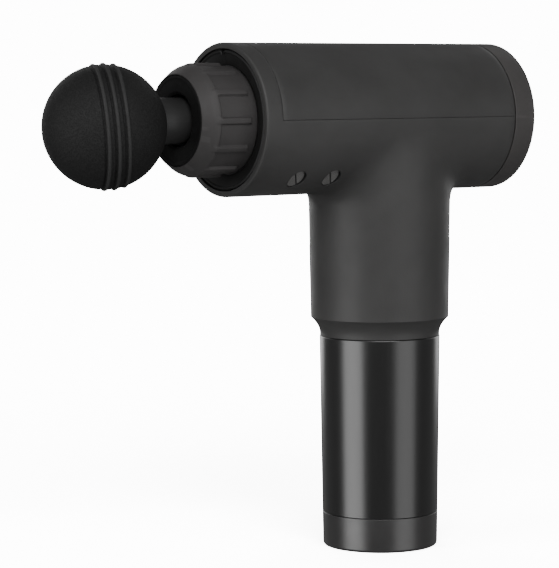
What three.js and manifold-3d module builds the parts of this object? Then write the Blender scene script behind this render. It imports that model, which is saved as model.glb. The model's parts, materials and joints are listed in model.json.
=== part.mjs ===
// A cordless percussion massage gun: barrel housing, grip, push-in battery handle and foam ball head.
//
// Frame: millimetres, +Z up. The origin is the centre of the battery's flat foot, on the handle axis.
// The barrel lies along X. The head is towards -X and the control panel towards +X.

import * as THREE from 'three';
import { mergeVertices } from 'three/addons/utils/BufferGeometryUtils.js';
import Module from 'manifold-3d';

const wasm = await Module();
wasm.setup();

// ---------------------------------------------------------------------------
// Driving dimensions, millimetres and degrees
// ---------------------------------------------------------------------------

const GAP = 0.3; // between pieces that rest on each other
const CLEARANCE = 0.15; // radial, between a shaft or pin and its hole
const SHELL_SEGMENTS = 36;
const RING_SEGMENTS = 24;
const INNER_SEGMENTS = 16;
const SMALL_SEGMENTS = 8;

const BARREL_HEIGHT = 178.7; // barrel axis above the foot
const BARREL_RADIUS = 30.7;
const BARREL_WALL = 2.6;
const BARREL_FRONT = -79.3;
const COVER_FRONT = -72.2; // seam between the front ring and the top cover
const REAR_SEAM = 48.05; // seam between the barrel and the rear cap
const BARREL_REAR = 59.3;
const RIM_ROUNDING = 1.6;
const CAVITY_RADIUS = BARREL_RADIUS - BARREL_WALL;

const GRIP_TOP_RADIUS = 29.5;
const GRIP_TOP = 146;
const GRIP_LOW_RADIUS = 28.6;
const GRIP_LOW = 95.9;
const NECK_TOP = 88.9; // where the grip's lower edge has drawn in almost to the battery
const NECK_RADIUS = 24.8;
const GRIP_BOTTOM = 88.1;
const GRIP_BORE = 26.3;
const NECK_BORE = 22.3;
const LEDGE_TOP = 151.7; // the ledge in the grip that carries the motor frame

const VENT_CENTRES = [-57.3, -40.2];
const VENT_LENGTH = 8.3; // along the barrel
const VENT_HEIGHT = 10; // round the barrel
const VENT_BAR = 1.5;
const VENT_ANGLE = 51; // below the horizontal

const NOSE_FRONT = -101.6;
const NOSE_RADIUS = 22.4;
const NOSE_FACE_RADIUS = 18;
const NOSE_PAD_RADIUS = 21.4;
const NOSE_PAD_FRONT = -94.5;
const NOSE_BORE = 10.3;
const NOSE_INNER_RADIUS = 16.3;
const RIB_COUNT = 12;
const RIB_WIDTH = 2.4;
const RIB_FRONT = -96.4;
const RIB_REAR = -80.1;

const BALL_CENTRE = -134.4;
const BALL_RADIUS = 24.05;
const BALL_DROP = 1.9; // the ball hangs this far below the stem's axis
const BALL_RING_PITCH = 4.2;
const BALL_RING_HEIGHT = 0.65;
const BALL_RING_WIDTH = 1.8;
const BALL_RING_SHIFT = 0.8;
const BALL_TURN = 22.7; // the moulded rings face this far from +X towards -Y
const BALL_TILT = 5.2; // and their tops lean this far to the front
const STEM_RADIUS = 9.1;

const CRANK_RADIUS = 6; // half the 12 mm stroke
const ROD_LENGTH = 38;
const ROD_THICKNESS = 6.4;
const PISTON_RADIUS = 12.4;
const PISTON_FRONT = -91;
const PISTON_REAR = -31;
const SOCKET_END = -63;
const WRIST_PIN_RADIUS = 3;
const CRANK_PIN_RADIUS = 2.5;
const SHAFT_RADIUS = 2.5;

const BATTERY_TOP = 87.8;
const BATTERY_TOP_RADIUS = 25;
const BATTERY_SEAM = 13.3;
const BATTERY_SEAM_RADIUS = 24.03;
const FOOT_RADIUS = 23.8;
const FOOT_ROUNDING = 2;
const FLOOR_THICKNESS = 2.6;
const PLUG_RADIUS = 21.9;
const PLUG_TOP = 149;
const CELL_RADIUS = 9.2; // 18650 cell
const CELL_LENGTH = 65;
const CELL_CIRCLE = 10.85;
const SWITCH_X = -11;
const SWITCH_PIVOT = 4.2;
const SWITCH_REST_TILT = 8;
const JACK_X = 12;

// ---------------------------------------------------------------------------
// Materials
// ---------------------------------------------------------------------------

const finish = (color, roughness, metalness) => () =>
  new THREE.MeshStandardMaterial({ color, roughness, metalness });

const softTouch = finish(0x3e3d3d, 0.62, 0);
const capPlastic = finish(0x474343, 0.55, 0);
const collarPlastic = finish(0x424040, 0.5, 0);
const darkPlastic = finish(0x1b1b1b, 0.55, 0);
const glossBlack = finish(0x101010, 0.18, 0);
const foam = finish(0x1d1d1d, 0.9, 0);
const rubber = finish(0x151515, 0.8, 0);
const steel = finish(0xb8b8bc, 0.3, 1);
const aluminium = finish(0xa6a9ad, 0.4, 1);
const copper = finish(0xb06a35, 0.35, 1);
const brass = finish(0xc9a652, 0.3, 1);
const circuitBoard = finish(0x1f4d33, 0.5, 0);
const cellWrap = finish(0x2b6f8f, 0.35, 0);

// ---------------------------------------------------------------------------
// Shape helpers
// ---------------------------------------------------------------------------

const radians = THREE.MathUtils.degToRad;

/** Turns a closed three.js geometry into a solid with its faces pointing out. */
function toSolid(geometry) {
  const bare = geometry.clone();
  bare.deleteAttribute('normal');
  bare.deleteAttribute('uv');
  const welded = mergeVertices(bare, 1e-4);
  const place = welded.getAttribute('position');
  const corners = [];
  const [a, b, c] = [new THREE.Vector3(), new THREE.Vector3(), new THREE.Vector3()];
  let volume = 0;
  for (let i = 0; i < welded.index.count; i += 3) {
    const face = [0, 1, 2].map((k) => welded.index.getX(i + k));
    if (new Set(face).size === 3) {
      corners.push(...face);
      a.fromBufferAttribute(place, face[0]);
      b.fromBufferAttribute(place, face[1]);
      c.fromBufferAttribute(place, face[2]);
      volume += a.dot(b.cross(c));
    }
  }
  if (volume < 0) {
    corners.reverse();
  }
  return new wasm.Manifold(
    new wasm.Mesh({
      numProp: 3,
      vertProperties: new Float32Array(place.array),
      triVerts: new Uint32Array(corners),
    }),
  );
}

/** Turns a solid back into a geometry for a mesh. */
function toGeometry(solid) {
  const mesh = solid.getMesh();
  const geometry = new THREE.BufferGeometry();
  geometry.setAttribute('position', new THREE.BufferAttribute(mesh.vertProperties, 3));
  geometry.setIndex(new THREE.BufferAttribute(mesh.triVerts, 1));
  geometry.computeVertexNormals();
  return geometry;
}

const union = (solids) => solids.reduce((whole, piece) => whole.add(piece));
const cut = (solid, tools) => tools.reduce((whole, tool) => whole.subtract(tool), solid);

/** Lathes [radius, height] points about +Z. */
function turned(points, segments = INNER_SEGMENTS) {
  const profile = points.map(([radius, height]) => new THREE.Vector2(radius, height));
  return new THREE.LatheGeometry(profile, segments).rotateX(Math.PI / 2);
}

/** Lathes [radius, x] points about the X axis. */
function turnedAlongX(points, segments = INNER_SEGMENTS) {
  const profile = points.map(([radius, x]) => new THREE.Vector2(radius, x));
  return new THREE.LatheGeometry(profile, segments).rotateZ(-Math.PI / 2);
}

const closed = (points) => [...points, points[0]];

/** A rectangular ring profile, closed on itself. */
const ringProfile = (inner, outer, low, high) =>
  closed([
    [inner, low],
    [outer, low],
    [outer, high],
    [inner, high],
  ]);

const ring = (inner, outer, low, high, segments) =>
  toSolid(turned(ringProfile(inner, outer, low, high), segments));

const ringAlongX = (inner, outer, low, high, segments) =>
  toSolid(turnedAlongX(ringProfile(inner, outer, low, high), segments));

/** A solid round bar about +Z, centred on (x, y). */
function bar(radius, low, high, x = 0, y = 0, segments = INNER_SEGMENTS) {
  const geometry = new THREE.CylinderGeometry(radius, radius, high - low, segments);
  return toSolid(geometry.rotateX(Math.PI / 2).translate(x, y, (low + high) / 2));
}

/** A solid round bar along X, centred on (y, z). */
function barAlongX(radius, low, high, y = 0, z = 0, segments = INNER_SEGMENTS) {
  const geometry = new THREE.CylinderGeometry(radius, radius, high - low, segments);
  return toSolid(geometry.rotateZ(-Math.PI / 2).translate((low + high) / 2, y, z));
}

/** A box between two corners. */
function block(low, high) {
  const size = high.map((value, k) => value - low[k]);
  const middle = high.map((value, k) => (value + low[k]) / 2);
  return toSolid(new THREE.BoxGeometry(...size).translate(...middle));
}

/** Points of a circular arc in a profile, from one angle to another, in degrees. */
function arc(centreRadius, centreHeight, radius, from, to, steps) {
  return Array.from({ length: steps + 1 }, (_, i) => {
    const angle = radians(from + ((to - from) * i) / steps);
    return [centreRadius + radius * Math.cos(angle), centreHeight + radius * Math.sin(angle)];
  });
}

/** Points spaced evenly on a circle about the axis. */
const around = (count, radius, start = 0) =>
  Array.from({ length: count }, (_, i) => {
    const angle = radians(start) + (2 * Math.PI * i) / count;
    return [radius * Math.cos(angle), radius * Math.sin(angle)];
  });

/** Adds one named mesh to a group. */
function add(group, name, shape, material) {
  const geometry = shape.isBufferGeometry ? toGeometry(toSolid(shape)) : toGeometry(shape);
  const mesh = new THREE.Mesh(geometry, material());
  mesh.name = name;
  group.add(mesh);
}

// ---------------------------------------------------------------------------
// Groups: the barrel group has its origin on the barrel axis, above the foot's centre
// ---------------------------------------------------------------------------

const massageGun = new THREE.Group();
const barrel = new THREE.Group();
barrel.position.z = BARREL_HEIGHT;
massageGun.add(barrel);

// ---------------------------------------------------------------------------
// Housing shells
// ---------------------------------------------------------------------------

const SHOULDER_FRONT = -74; // the ring inside the front rim that the guide's flange bolts to
const SHOULDER_BORE = 21.5;
const FLANGE_SCREW_CIRCLE = 24.4;
const SCREW_HOLE = 1.4;
const BOARD_HEIGHT = 13.6; // control board's underside above the barrel axis
const BOARD_THICKNESS = 1.6;
const FLANGE_SCREWS = around(3, FLANGE_SCREW_CIRCLE, 90);

/** Two half-oval slots with a bar between them, cut radially through the barrel wall. */
function ventCutters() {
  const halfLength = VENT_LENGTH / 2;
  const halfBar = VENT_BAR / 2;
  const rim = Math.acos(halfBar / halfLength);
  const slots = [0, Math.PI].map((turn) => {
    const slot = new THREE.Shape();
    slot.absellipse(0, 0, halfLength, VENT_HEIGHT / 2, turn - rim, turn + rim, false, 0);
    slot.closePath();
    const depth = 2 * BARREL_WALL + 2;
    return new THREE.ExtrudeGeometry(slot, { depth, bevelEnabled: false, curveSegments: 5 });
  });
  return VENT_CENTRES.flatMap((x) =>
    [-1, 1].flatMap((side) =>
      slots.map((slot) => {
        const placed = slot.clone().translate(0, 0, CAVITY_RADIUS - BARREL_WALL);
        return toSolid(placed.rotateX(-side * radians(90 + VENT_ANGLE)).translate(x, 0, 0));
      }),
    ),
  );
}

/** The lower half of the barrel in one moulding with its front ring and the hollow grip. */
function mainHousing() {
  const barrelOutside = turnedAlongX(
    [
      [0, BARREL_FRONT],
      ...arc(BARREL_RADIUS - RIM_ROUNDING, BARREL_FRONT + RIM_ROUNDING, RIM_ROUNDING, -90, 0, 3),
      [BARREL_RADIUS, REAR_SEAM],
      [0, REAR_SEAM],
    ],
    SHELL_SEGMENTS,
  );
  const gripOutside = turned(
    [
      [0, GRIP_BOTTOM],
      [NECK_RADIUS, GRIP_BOTTOM],
      [NECK_RADIUS, NECK_TOP],
      [NECK_RADIUS + 0.9, (NECK_TOP + GRIP_LOW) / 2],
      [GRIP_LOW_RADIUS - 0.3, GRIP_LOW - 0.3],
      [GRIP_LOW_RADIUS, GRIP_LOW + 0.5],
      [GRIP_TOP_RADIUS, GRIP_TOP],
      [GRIP_TOP_RADIUS, BARREL_HEIGHT - 1],
      [0, BARREL_HEIGHT - 1],
    ],
    SHELL_SEGMENTS,
  );
  const gripInside = turned(
    [
      [0, GRIP_BOTTOM - 1],
      [NECK_BORE, GRIP_BOTTOM - 1],
      [NECK_BORE, GRIP_LOW - 1.5],
      [GRIP_BORE, GRIP_LOW + 2.5],
      [GRIP_BORE, LEDGE_TOP - 2.2],
      [GRIP_BORE - 1.4, LEDGE_TOP - 2.2],
      [GRIP_BORE - 1.4, LEDGE_TOP],
      [GRIP_BORE, LEDGE_TOP],
      [GRIP_BORE, BARREL_HEIGHT],
      [0, BARREL_HEIGHT],
    ],
    SHELL_SEGMENTS,
  );
  const drop = -BARREL_HEIGHT;
  const outside = toSolid(barrelOutside).add(toSolid(gripOutside.translate(0, 0, drop)));
  const inside = union([
    barAlongX(CAVITY_RADIUS, COVER_FRONT, REAR_SEAM + 1, 0, 0, SHELL_SEGMENTS),
    barAlongX(CAVITY_RADIUS, BARREL_FRONT - 1, SHOULDER_FRONT, 0, 0, SHELL_SEGMENTS),
    barAlongX(SHOULDER_BORE, SHOULDER_FRONT - 1, COVER_FRONT + 1, 0, 0, SHELL_SEGMENTS),
    toSolid(gripInside.translate(0, 0, drop)),
  ]);
  const reach = BARREL_RADIUS + 5;
  const coverSpace = block([COVER_FRONT, -reach, -GAP / 2], [REAR_SEAM + 5, reach, reach]);
  const screwHoles = FLANGE_SCREWS.map(([y, z]) =>
    barAlongX(SCREW_HOLE, SHOULDER_FRONT - 1, COVER_FRONT + 1, y, z, SMALL_SEGMENTS),
  );
  return cut(outside, [inside, coverSpace, ...ventCutters(), ...screwHoles]);
}

/** The upper half shell, with four posts inside that carry the control board. */
function topCover() {
  const front = COVER_FRONT + GAP;
  const shell = ringAlongX(CAVITY_RADIUS, BARREL_RADIUS, front, REAR_SEAM, SHELL_SEGMENTS);
  const posts = [-12, 36].flatMap((x) =>
    [-17, 17].map((y) => bar(2.6, BOARD_HEIGHT + BOARD_THICKNESS + GAP, 23.5, x, y, SMALL_SEGMENTS)),
  );
  const reach = BARREL_RADIUS + 5;
  const lowerHalf = block([front - 5, -reach, -reach], [REAR_SEAM + 5, reach, GAP / 2]);
  return cut(union([shell, ...posts]), [lowerHalf]);
}

add(barrel, 'main_housing', mainHousing(), softTouch);
add(barrel, 'top_cover', topCover(), softTouch);

// ---------------------------------------------------------------------------
// Front: dished bezel, ribbed collar and the dark ring in its face
// ---------------------------------------------------------------------------

const BEZEL_BACK = -77;
const BEZEL_BORE = NOSE_PAD_RADIUS + GAP;

const bezelProfile = closed([
  [BEZEL_BORE, BEZEL_BACK],
  [CAVITY_RADIUS - GAP, BEZEL_BACK],
  [CAVITY_RADIUS - GAP, BEZEL_BACK - 1.7],
  [CAVITY_RADIUS - 1, BEZEL_BACK - 2.1],
  [CAVITY_RADIUS - 1.6, BEZEL_BACK - 1.6],
  [BEZEL_BORE, BEZEL_BACK - 0.8],
]);

/** The ribbed collar that screws over the guide cylinder. */
function noseCollar() {
  const faceRecess = NOSE_FRONT + 2.4;
  const body = turnedAlongX(
    closed([
      [NOSE_INNER_RADIUS, BEZEL_BACK - GAP],
      [NOSE_PAD_RADIUS, BEZEL_BACK - GAP],
      [NOSE_PAD_RADIUS, NOSE_PAD_FRONT],
      [NOSE_RADIUS, NOSE_PAD_FRONT - 0.4],
      [NOSE_RADIUS, NOSE_FRONT + 6],
      [NOSE_RADIUS - 0.8, NOSE_FRONT + 4],
      [NOSE_FACE_RADIUS + 0.4, NOSE_FRONT],
      [NOSE_FACE_RADIUS, NOSE_FRONT],
      [NOSE_FACE_RADIUS, faceRecess],
      [NOSE_BORE + 2, faceRecess],
      [NOSE_BORE + 2, faceRecess + 1.2],
      [NOSE_INNER_RADIUS, faceRecess + 2.4],
    ]),
    SHELL_SEGMENTS,
  );
  const half = RIB_WIDTH / 2;
  const section = new THREE.Shape();
  section.moveTo(-half, NOSE_PAD_RADIUS - 1);
  section.lineTo(half, NOSE_PAD_RADIUS - 1);
  section.lineTo(half, NOSE_RADIUS - 0.4);
  section.quadraticCurveTo(0, NOSE_RADIUS + 0.4, -half, NOSE_RADIUS - 0.4);
  const depth = RIB_REAR - RIB_FRONT;
  const rib = new THREE.ExtrudeGeometry(section, { depth, bevelEnabled: false, curveSegments: 2 });
  rib.rotateY(Math.PI / 2).translate(RIB_FRONT, 0, 0);
  const ribs = Array.from({ length: RIB_COUNT }, (_, i) =>
    toSolid(rib.clone().rotateX((2 * Math.PI * i) / RIB_COUNT)),
  );
  return union([toSolid(body), ...ribs]);
}

const noseRingProfile = closed([
  [NOSE_BORE, NOSE_FRONT + 0.6],
  [NOSE_BORE + 0.6, NOSE_FRONT],
  [NOSE_FACE_RADIUS - GAP, NOSE_FRONT],
  [NOSE_FACE_RADIUS - GAP, NOSE_FRONT + 2.1],
  [NOSE_BORE, NOSE_FRONT + 2.1],
]);

add(barrel, 'front_bezel', turnedAlongX(bezelProfile, SHELL_SEGMENTS), darkPlastic);
add(barrel, 'nose_collar', noseCollar(), collarPlastic);
add(barrel, 'nose_ring', turnedAlongX(noseRingProfile, RING_SEGMENTS), rubber);

// ---------------------------------------------------------------------------
// Guide cylinder, bolted behind the bezel
// ---------------------------------------------------------------------------

const GUIDE_BORE = PISTON_RADIUS + 0.3;
const GUIDE_RADIUS = 16;
const GUIDE_FRONT = -96;
const GUIDE_REAR = -46;
const FLANGE_FRONT = BEZEL_BACK + GAP;
const FLANGE_BACK = SHOULDER_FRONT - GAP;
const SCREW_HEAD_SEAT = FLANGE_FRONT + 1.4;

function guideCylinder() {
  const body = turnedAlongX(
    closed([
      [GUIDE_BORE, GUIDE_FRONT],
      [GUIDE_RADIUS, GUIDE_FRONT],
      [GUIDE_RADIUS, FLANGE_FRONT],
      [CAVITY_RADIUS - GAP, FLANGE_FRONT],
      [CAVITY_RADIUS - GAP, FLANGE_BACK],
      [GUIDE_RADIUS, FLANGE_BACK],
      [GUIDE_RADIUS, GUIDE_REAR],
      [GUIDE_BORE, GUIDE_REAR],
    ]),
    RING_SEGMENTS,
  );
  const holes = FLANGE_SCREWS.flatMap(([y, z]) => [
    barAlongX(SCREW_HOLE, FLANGE_FRONT - 1, FLANGE_BACK + 1, y, z, SMALL_SEGMENTS),
    barAlongX(2.4, FLANGE_FRONT - 1, SCREW_HEAD_SEAT, y, z, SMALL_SEGMENTS),
  ]);
  return cut(toSolid(body), holes);
}

/** A pan-head screw: its head's top at 0 and its shank towards +Z. */
const screwProfile = (headRadius, headHeight, shankRadius, length) => [
  [0, 0],
  [headRadius, 0],
  [headRadius, headHeight],
  [shankRadius, headHeight],
  [shankRadius, length],
  [0, length],
];

add(barrel, 'guide_cylinder', guideCylinder(), aluminium);
FLANGE_SCREWS.forEach(([y, z], i) => {
  const screw = turnedAlongX(screwProfile(2.1, 1.1, 1.1, 5.6), SMALL_SEGMENTS);
  add(barrel, `flange_screw_${i + 1}`, screw.translate(FLANGE_FRONT + 0.1, y, z), steel);
});

// ---------------------------------------------------------------------------
// Rear: cap, display lens, speed button and the boards behind them
// ---------------------------------------------------------------------------

const LENS_RADIUS = 22;
const BUTTON_RADIUS = 7.5;
const DISPLAY_BOARD_BACK = BARREL_REAR - 5;

const rearCapProfile = closed([
  [CAVITY_RADIUS, REAR_SEAM + GAP],
  [BARREL_RADIUS, REAR_SEAM + GAP],
  ...arc(BARREL_RADIUS - RIM_ROUNDING, BARREL_REAR - RIM_ROUNDING, RIM_ROUNDING, 0, 90, 2),
  [LENS_RADIUS + GAP, BARREL_REAR],
  [LENS_RADIUS + GAP, BARREL_REAR - 1.6],
  [LENS_RADIUS - 1.6, BARREL_REAR - 1.6],
  [LENS_RADIUS - 1.6, BARREL_REAR - 3],
  [CAVITY_RADIUS, BARREL_REAR - 3],
]);

const buttonProfile = [
  [0, BARREL_REAR - 3.4],
  [2.5, BARREL_REAR - 3.4],
  [2.5, BARREL_REAR - 2.7],
  [9.2, BARREL_REAR - 2.7],
  [9.2, BARREL_REAR - 1.7],
  [BUTTON_RADIUS, BARREL_REAR - 1.7],
  [BUTTON_RADIUS, BARREL_REAR - 0.6],
  [BUTTON_RADIUS - 0.5, BARREL_REAR - 0.2],
  [0, BARREL_REAR - 0.2],
];

const lens = ringAlongX(
  BUTTON_RADIUS + 0.4,
  LENS_RADIUS,
  BARREL_REAR - 1.3,
  BARREL_REAR - 0.2,
  RING_SEGMENTS,
);
const displayBoard = union([
  barAlongX(CAVITY_RADIUS - 1.1, DISPLAY_BOARD_BACK - 1.6, DISPLAY_BOARD_BACK),
  block([DISPLAY_BOARD_BACK - 0.5, -3, -3], [DISPLAY_BOARD_BACK + 0.35, 3, 3]),
]);

/** The control board with its power transistors, capacitor and connector soldered on. */
function controlBoard() {
  const low = BOARD_HEIGHT;
  const high = BOARD_HEIGHT + BOARD_THICKNESS;
  const parts = [
    block([-18, -20, low], [44, 20, high]),
    bar(4, high - 0.5, high + 6.5, 10, 0, SMALL_SEGMENTS),
    block([20, -6, high - 0.5], [28, 6, high + 2]),
    block([-6, -5, low - 2], [4, 5, low + 0.5]),
    ...[-12, -4, 4, 12].map((y) => block([31, y - 2.5, low - 3], [38, y + 2.5, low + 0.5])),
  ];
  return union(parts);
}

add(barrel, 'rear_cap', turnedAlongX(rearCapProfile, SHELL_SEGMENTS), capPlastic);
add(barrel, 'display_lens', lens, glossBlack);
add(barrel, 'speed_button', turnedAlongX(buttonProfile), darkPlastic);
add(barrel, 'display_board', displayBoard, circuitBoard);
add(barrel, 'control_board', controlBoard(), circuitBoard);

// ---------------------------------------------------------------------------
// Motor frame and motor, standing on the ledge at the top of the grip
// ---------------------------------------------------------------------------

const FRAME_BOTTOM = LEDGE_TOP + GAP;
const FRAME_TOP = FRAME_BOTTOM + 2.8;
const FRAME_RADIUS = 24.5;
const MOTOR_BASE = FRAME_TOP + GAP;
const MOTOR_SCREW_CIRCLE = 12.5;
const MOTOR_SCREWS = around(3, MOTOR_SCREW_CIRCLE, 90);
const BEARING_OUTER = 4.2;
const BEARING_TUBE = 6;
const BEARING_WIDTH = 2.5;
const STATOR_LOW = MOTOR_BASE + 4.3;
const STATOR_HIGH = STATOR_LOW + 5.6;
const STATOR_RADIUS = 18.8;
const TOOTH_COUNT = 9;
const TOOTH_HALF_WIDTH = 1.7;
const BELL_TOP = MOTOR_BASE + 13.1;
const BELL_RADIUS = 22.6;

function driveFrame() {
  const plate = ring(BEARING_TUBE + 0.5, FRAME_RADIUS, FRAME_BOTTOM, FRAME_TOP, RING_SEGMENTS);
  const screwHoles = MOTOR_SCREWS.map(([x, y]) =>
    bar(SCREW_HOLE, FRAME_BOTTOM - 1, FRAME_TOP + 1, x, y, SMALL_SEGMENTS),
  );
  const wireHoles = around(3, 19, 30).map(([x, y]) =>
    bar(3.4, FRAME_BOTTOM - 1, FRAME_TOP + 1, x, y, SMALL_SEGMENTS),
  );
  return cut(plate, [...screwHoles, ...wireHoles]);
}

function motorBase() {
  const boss = turned(
    closed([
      [BEARING_OUTER + 0.1, MOTOR_BASE],
      [16, MOTOR_BASE],
      [16, MOTOR_BASE + 1.7],
      [BEARING_TUBE, MOTOR_BASE + 1.7],
      [BEARING_TUBE, MOTOR_BASE + 10.7],
      [BEARING_OUTER + 0.1, MOTOR_BASE + 10.7],
    ]),
  );
  const holes = MOTOR_SCREWS.map(([x, y]) =>
    bar(SCREW_HOLE, MOTOR_BASE - 1, MOTOR_BASE + 3, x, y, SMALL_SEGMENTS),
  );
  return cut(toSolid(boss), holes);
}

/** The laminated core: a hub with T-shaped teeth. */
function statorCore() {
  const core = ring(BEARING_TUBE + GAP, 9.4, STATOR_LOW, STATOR_HIGH);
  const step = 360 / TOOTH_COUNT;
  const shoe = new THREE.Shape();
  const shoeHalf = radians(step / 2 - 3.5);
  shoe.absarc(0, 0, STATOR_RADIUS, -shoeHalf, shoeHalf, false);
  shoe.absarc(0, 0, STATOR_RADIUS - 1.5, shoeHalf, -shoeHalf, true);
  const depth = STATOR_HIGH - STATOR_LOW;
  const tip = new THREE.ExtrudeGeometry(shoe, { depth, bevelEnabled: false, curveSegments: 2 });
  const neck = new THREE.BoxGeometry(STATOR_RADIUS - 9.5, 2 * TOOTH_HALF_WIDTH, depth);
  neck.translate((STATOR_RADIUS + 7.5) / 2, 0, depth / 2);
  const tooth = toSolid(tip).add(toSolid(neck)).translate([0, 0, STATOR_LOW]);
  const teeth = Array.from({ length: TOOTH_COUNT }, (_, i) => tooth.rotate([0, 0, step * i]));
  return union([core, ...teeth]);
}

/** The copper coils, one round each tooth, joined by their common ring under the core. */
function windings() {
  const step = 360 / TOOTH_COUNT;
  const width = TOOTH_HALF_WIDTH + 1.4;
  const low = STATOR_LOW - 0.9;
  const coil = block([10.2, -width, low], [16.4, width, STATOR_HIGH + 0.9]).subtract(
    block(
      [9, -TOOTH_HALF_WIDTH - GAP, STATOR_LOW - GAP],
      [18, TOOTH_HALF_WIDTH + GAP, STATOR_HIGH + GAP],
    ),
  );
  const coils = Array.from({ length: TOOTH_COUNT }, (_, i) => coil.rotate([0, 0, step * i]));
  return union([ring(10, 11.6, low, STATOR_LOW - GAP), ...coils]);
}

const dampingRing = ring(
  FRAME_RADIUS + GAP,
  GRIP_BORE - GAP,
  FRAME_BOTTOM,
  FRAME_TOP + 0.5,
  RING_SEGMENTS,
);

add(massageGun, 'drive_frame', driveFrame(), aluminium);
add(massageGun, 'vibration_ring', dampingRing, rubber);
add(massageGun, 'motor_base', motorBase(), aluminium);
add(massageGun, 'motor_stator', statorCore(), steel);
add(massageGun, 'motor_windings', windings(), copper);

[MOTOR_BASE + 0.3, MOTOR_BASE + 7.9].forEach((low, i) => {
  const race = ring(SHAFT_RADIUS + CLEARANCE, BEARING_OUTER - 0.05, low, low + BEARING_WIDTH);
  add(massageGun, `motor_bearing_${i + 1}`, race, steel);
});

MOTOR_SCREWS.forEach(([x, y], i) => {
  const screw = turned(screwProfile(2.2, 1, 1.1, 5.4), SMALL_SEGMENTS).rotateX(Math.PI);
  add(massageGun, `motor_screw_${i + 1}`, screw.translate(x, y, MOTOR_BASE + 2.9), steel);
});

// ---------------------------------------------------------------------------
// Supply terminals between the battery and the motor frame
// ---------------------------------------------------------------------------

const TERMINALS = [-7, 7];
const BLOCK_TOP = FRAME_BOTTOM - GAP;
const BLOCK_BOTTOM = BLOCK_TOP - 1.5;

const terminalHoles = TERMINALS.map((x) =>
  bar(2.5, BLOCK_BOTTOM - 1, BLOCK_TOP + 1, x, 0, SMALL_SEGMENTS),
);
add(
  massageGun,
  'terminal_block',
  cut(bar(12, BLOCK_BOTTOM, BLOCK_TOP), terminalHoles),
  darkPlastic,
);
TERMINALS.forEach((x, i) => {
  const stud = bar(2.2, PLUG_TOP + 0.9, BLOCK_TOP - 0.2, x, 0, SMALL_SEGMENTS);
  add(massageGun, `supply_contact_${i + 1}`, stud, brass);
});

// ---------------------------------------------------------------------------
// Rotor: bell, magnet ring, shaft, crank and its pin
// ---------------------------------------------------------------------------

const CRANK_LOW = BELL_TOP + GAP + 0.1;
const ROD_LOW = BARREL_HEIGHT - ROD_THICKNESS / 2;
const CRANK_HIGH = ROD_LOW - 2.9;

function rotorBell() {
  const bell = turned(
    closed([
      [SHAFT_RADIUS + CLEARANCE, BELL_TOP - 1.5],
      [BELL_RADIUS - 1.4, BELL_TOP - 1.5],
      [BELL_RADIUS - 1.4, MOTOR_BASE + 2.3],
      [BELL_RADIUS, MOTOR_BASE + 2.3],
      [BELL_RADIUS, BELL_TOP - 0.6],
      [BELL_RADIUS - 0.6, BELL_TOP],
      [SHAFT_RADIUS + CLEARANCE, BELL_TOP],
    ]),
    RING_SEGMENTS,
  );
  const windows = around(6, 13.5).map(([x, y]) =>
    bar(3.4, BELL_TOP - 3, BELL_TOP + 1, x, y, SMALL_SEGMENTS),
  );
  return cut(toSolid(bell), windows);
}

/** The crank: a hub with the pin on one side and a counterweight on the other. */
function crankDisc() {
  const hub = bar(10.5, CRANK_LOW, CRANK_HIGH);
  const weight = new THREE.Shape();
  weight.absarc(0, 0, 17, radians(-150), radians(-30), false);
  weight.lineTo(0, 0);
  const depth = CRANK_HIGH - CRANK_LOW;
  const sector = new THREE.ExtrudeGeometry(weight, { depth, bevelEnabled: false });
  const holes = [0, CRANK_RADIUS].map((y) =>
    bar(SHAFT_RADIUS + CLEARANCE, CRANK_LOW - 1, CRANK_HIGH + 1, 0, y, SMALL_SEGMENTS),
  );
  return cut(hub.add(toSolid(sector.translate(0, 0, CRANK_LOW))), holes);
}

const magnetRing = ring(
  STATOR_RADIUS + 0.7,
  BELL_RADIUS - 1.7,
  STATOR_LOW,
  STATOR_HIGH + 0.6,
  RING_SEGMENTS,
);
const shaft = bar(SHAFT_RADIUS, MOTOR_BASE + 0.1, CRANK_HIGH - 0.2, 0, 0, SMALL_SEGMENTS);
const crankPin = bar(
  CRANK_PIN_RADIUS,
  CRANK_LOW + 0.2,
  ROD_LOW - GAP,
  0,
  CRANK_RADIUS,
  SMALL_SEGMENTS,
);

add(massageGun, 'rotor_bell', rotorBell(), steel);
add(massageGun, 'rotor_magnets', magnetRing, darkPlastic);
add(massageGun, 'motor_shaft', shaft, steel);
add(massageGun, 'crank_disc', crankDisc(), steel);
add(massageGun, 'crank_pin', crankPin, steel);

// ---------------------------------------------------------------------------
// Connecting rod, at mid-stroke: the wrist pin is on the barrel axis, the crank pin beside it
// ---------------------------------------------------------------------------

const WRIST_X = -Math.sqrt(ROD_LENGTH ** 2 - CRANK_RADIUS ** 2);
const BIG_END_BEARING = 6;
const SMALL_END_BUSH = 4.3;

const rod = new THREE.Group();
rod.position.set(WRIST_X, 0, 0);
rod.rotation.z = Math.asin(CRANK_RADIUS / ROD_LENGTH);
barrel.add(rod);

function connectingRod() {
  const half = ROD_THICKNESS / 2;
  const body = union([
    bar(6.4, -half, half),
    bar(9, -half, half, ROD_LENGTH, 0),
    block([0, -3.6, -half], [ROD_LENGTH, 3.6, half]),
  ]);
  const recess = [-1, 1].map((side) =>
    block([10, -2, side < 0 ? -half - 1 : half - 1.6], [25, 2, side < 0 ? 1.6 - half : half + 1]),
  );
  return cut(body, [
    bar(SMALL_END_BUSH + 0.1, -half - 1, half + 1),
    bar(BIG_END_BEARING + 0.1, -half - 1, half + 1, ROD_LENGTH, 0),
    ...recess,
  ]);
}

function rodRing(inner, outer, x) {
  const half = ROD_THICKNESS / 2;
  return toSolid(turned(ringProfile(inner, outer, -half, half)).translate(x, 0, 0));
}

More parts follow.
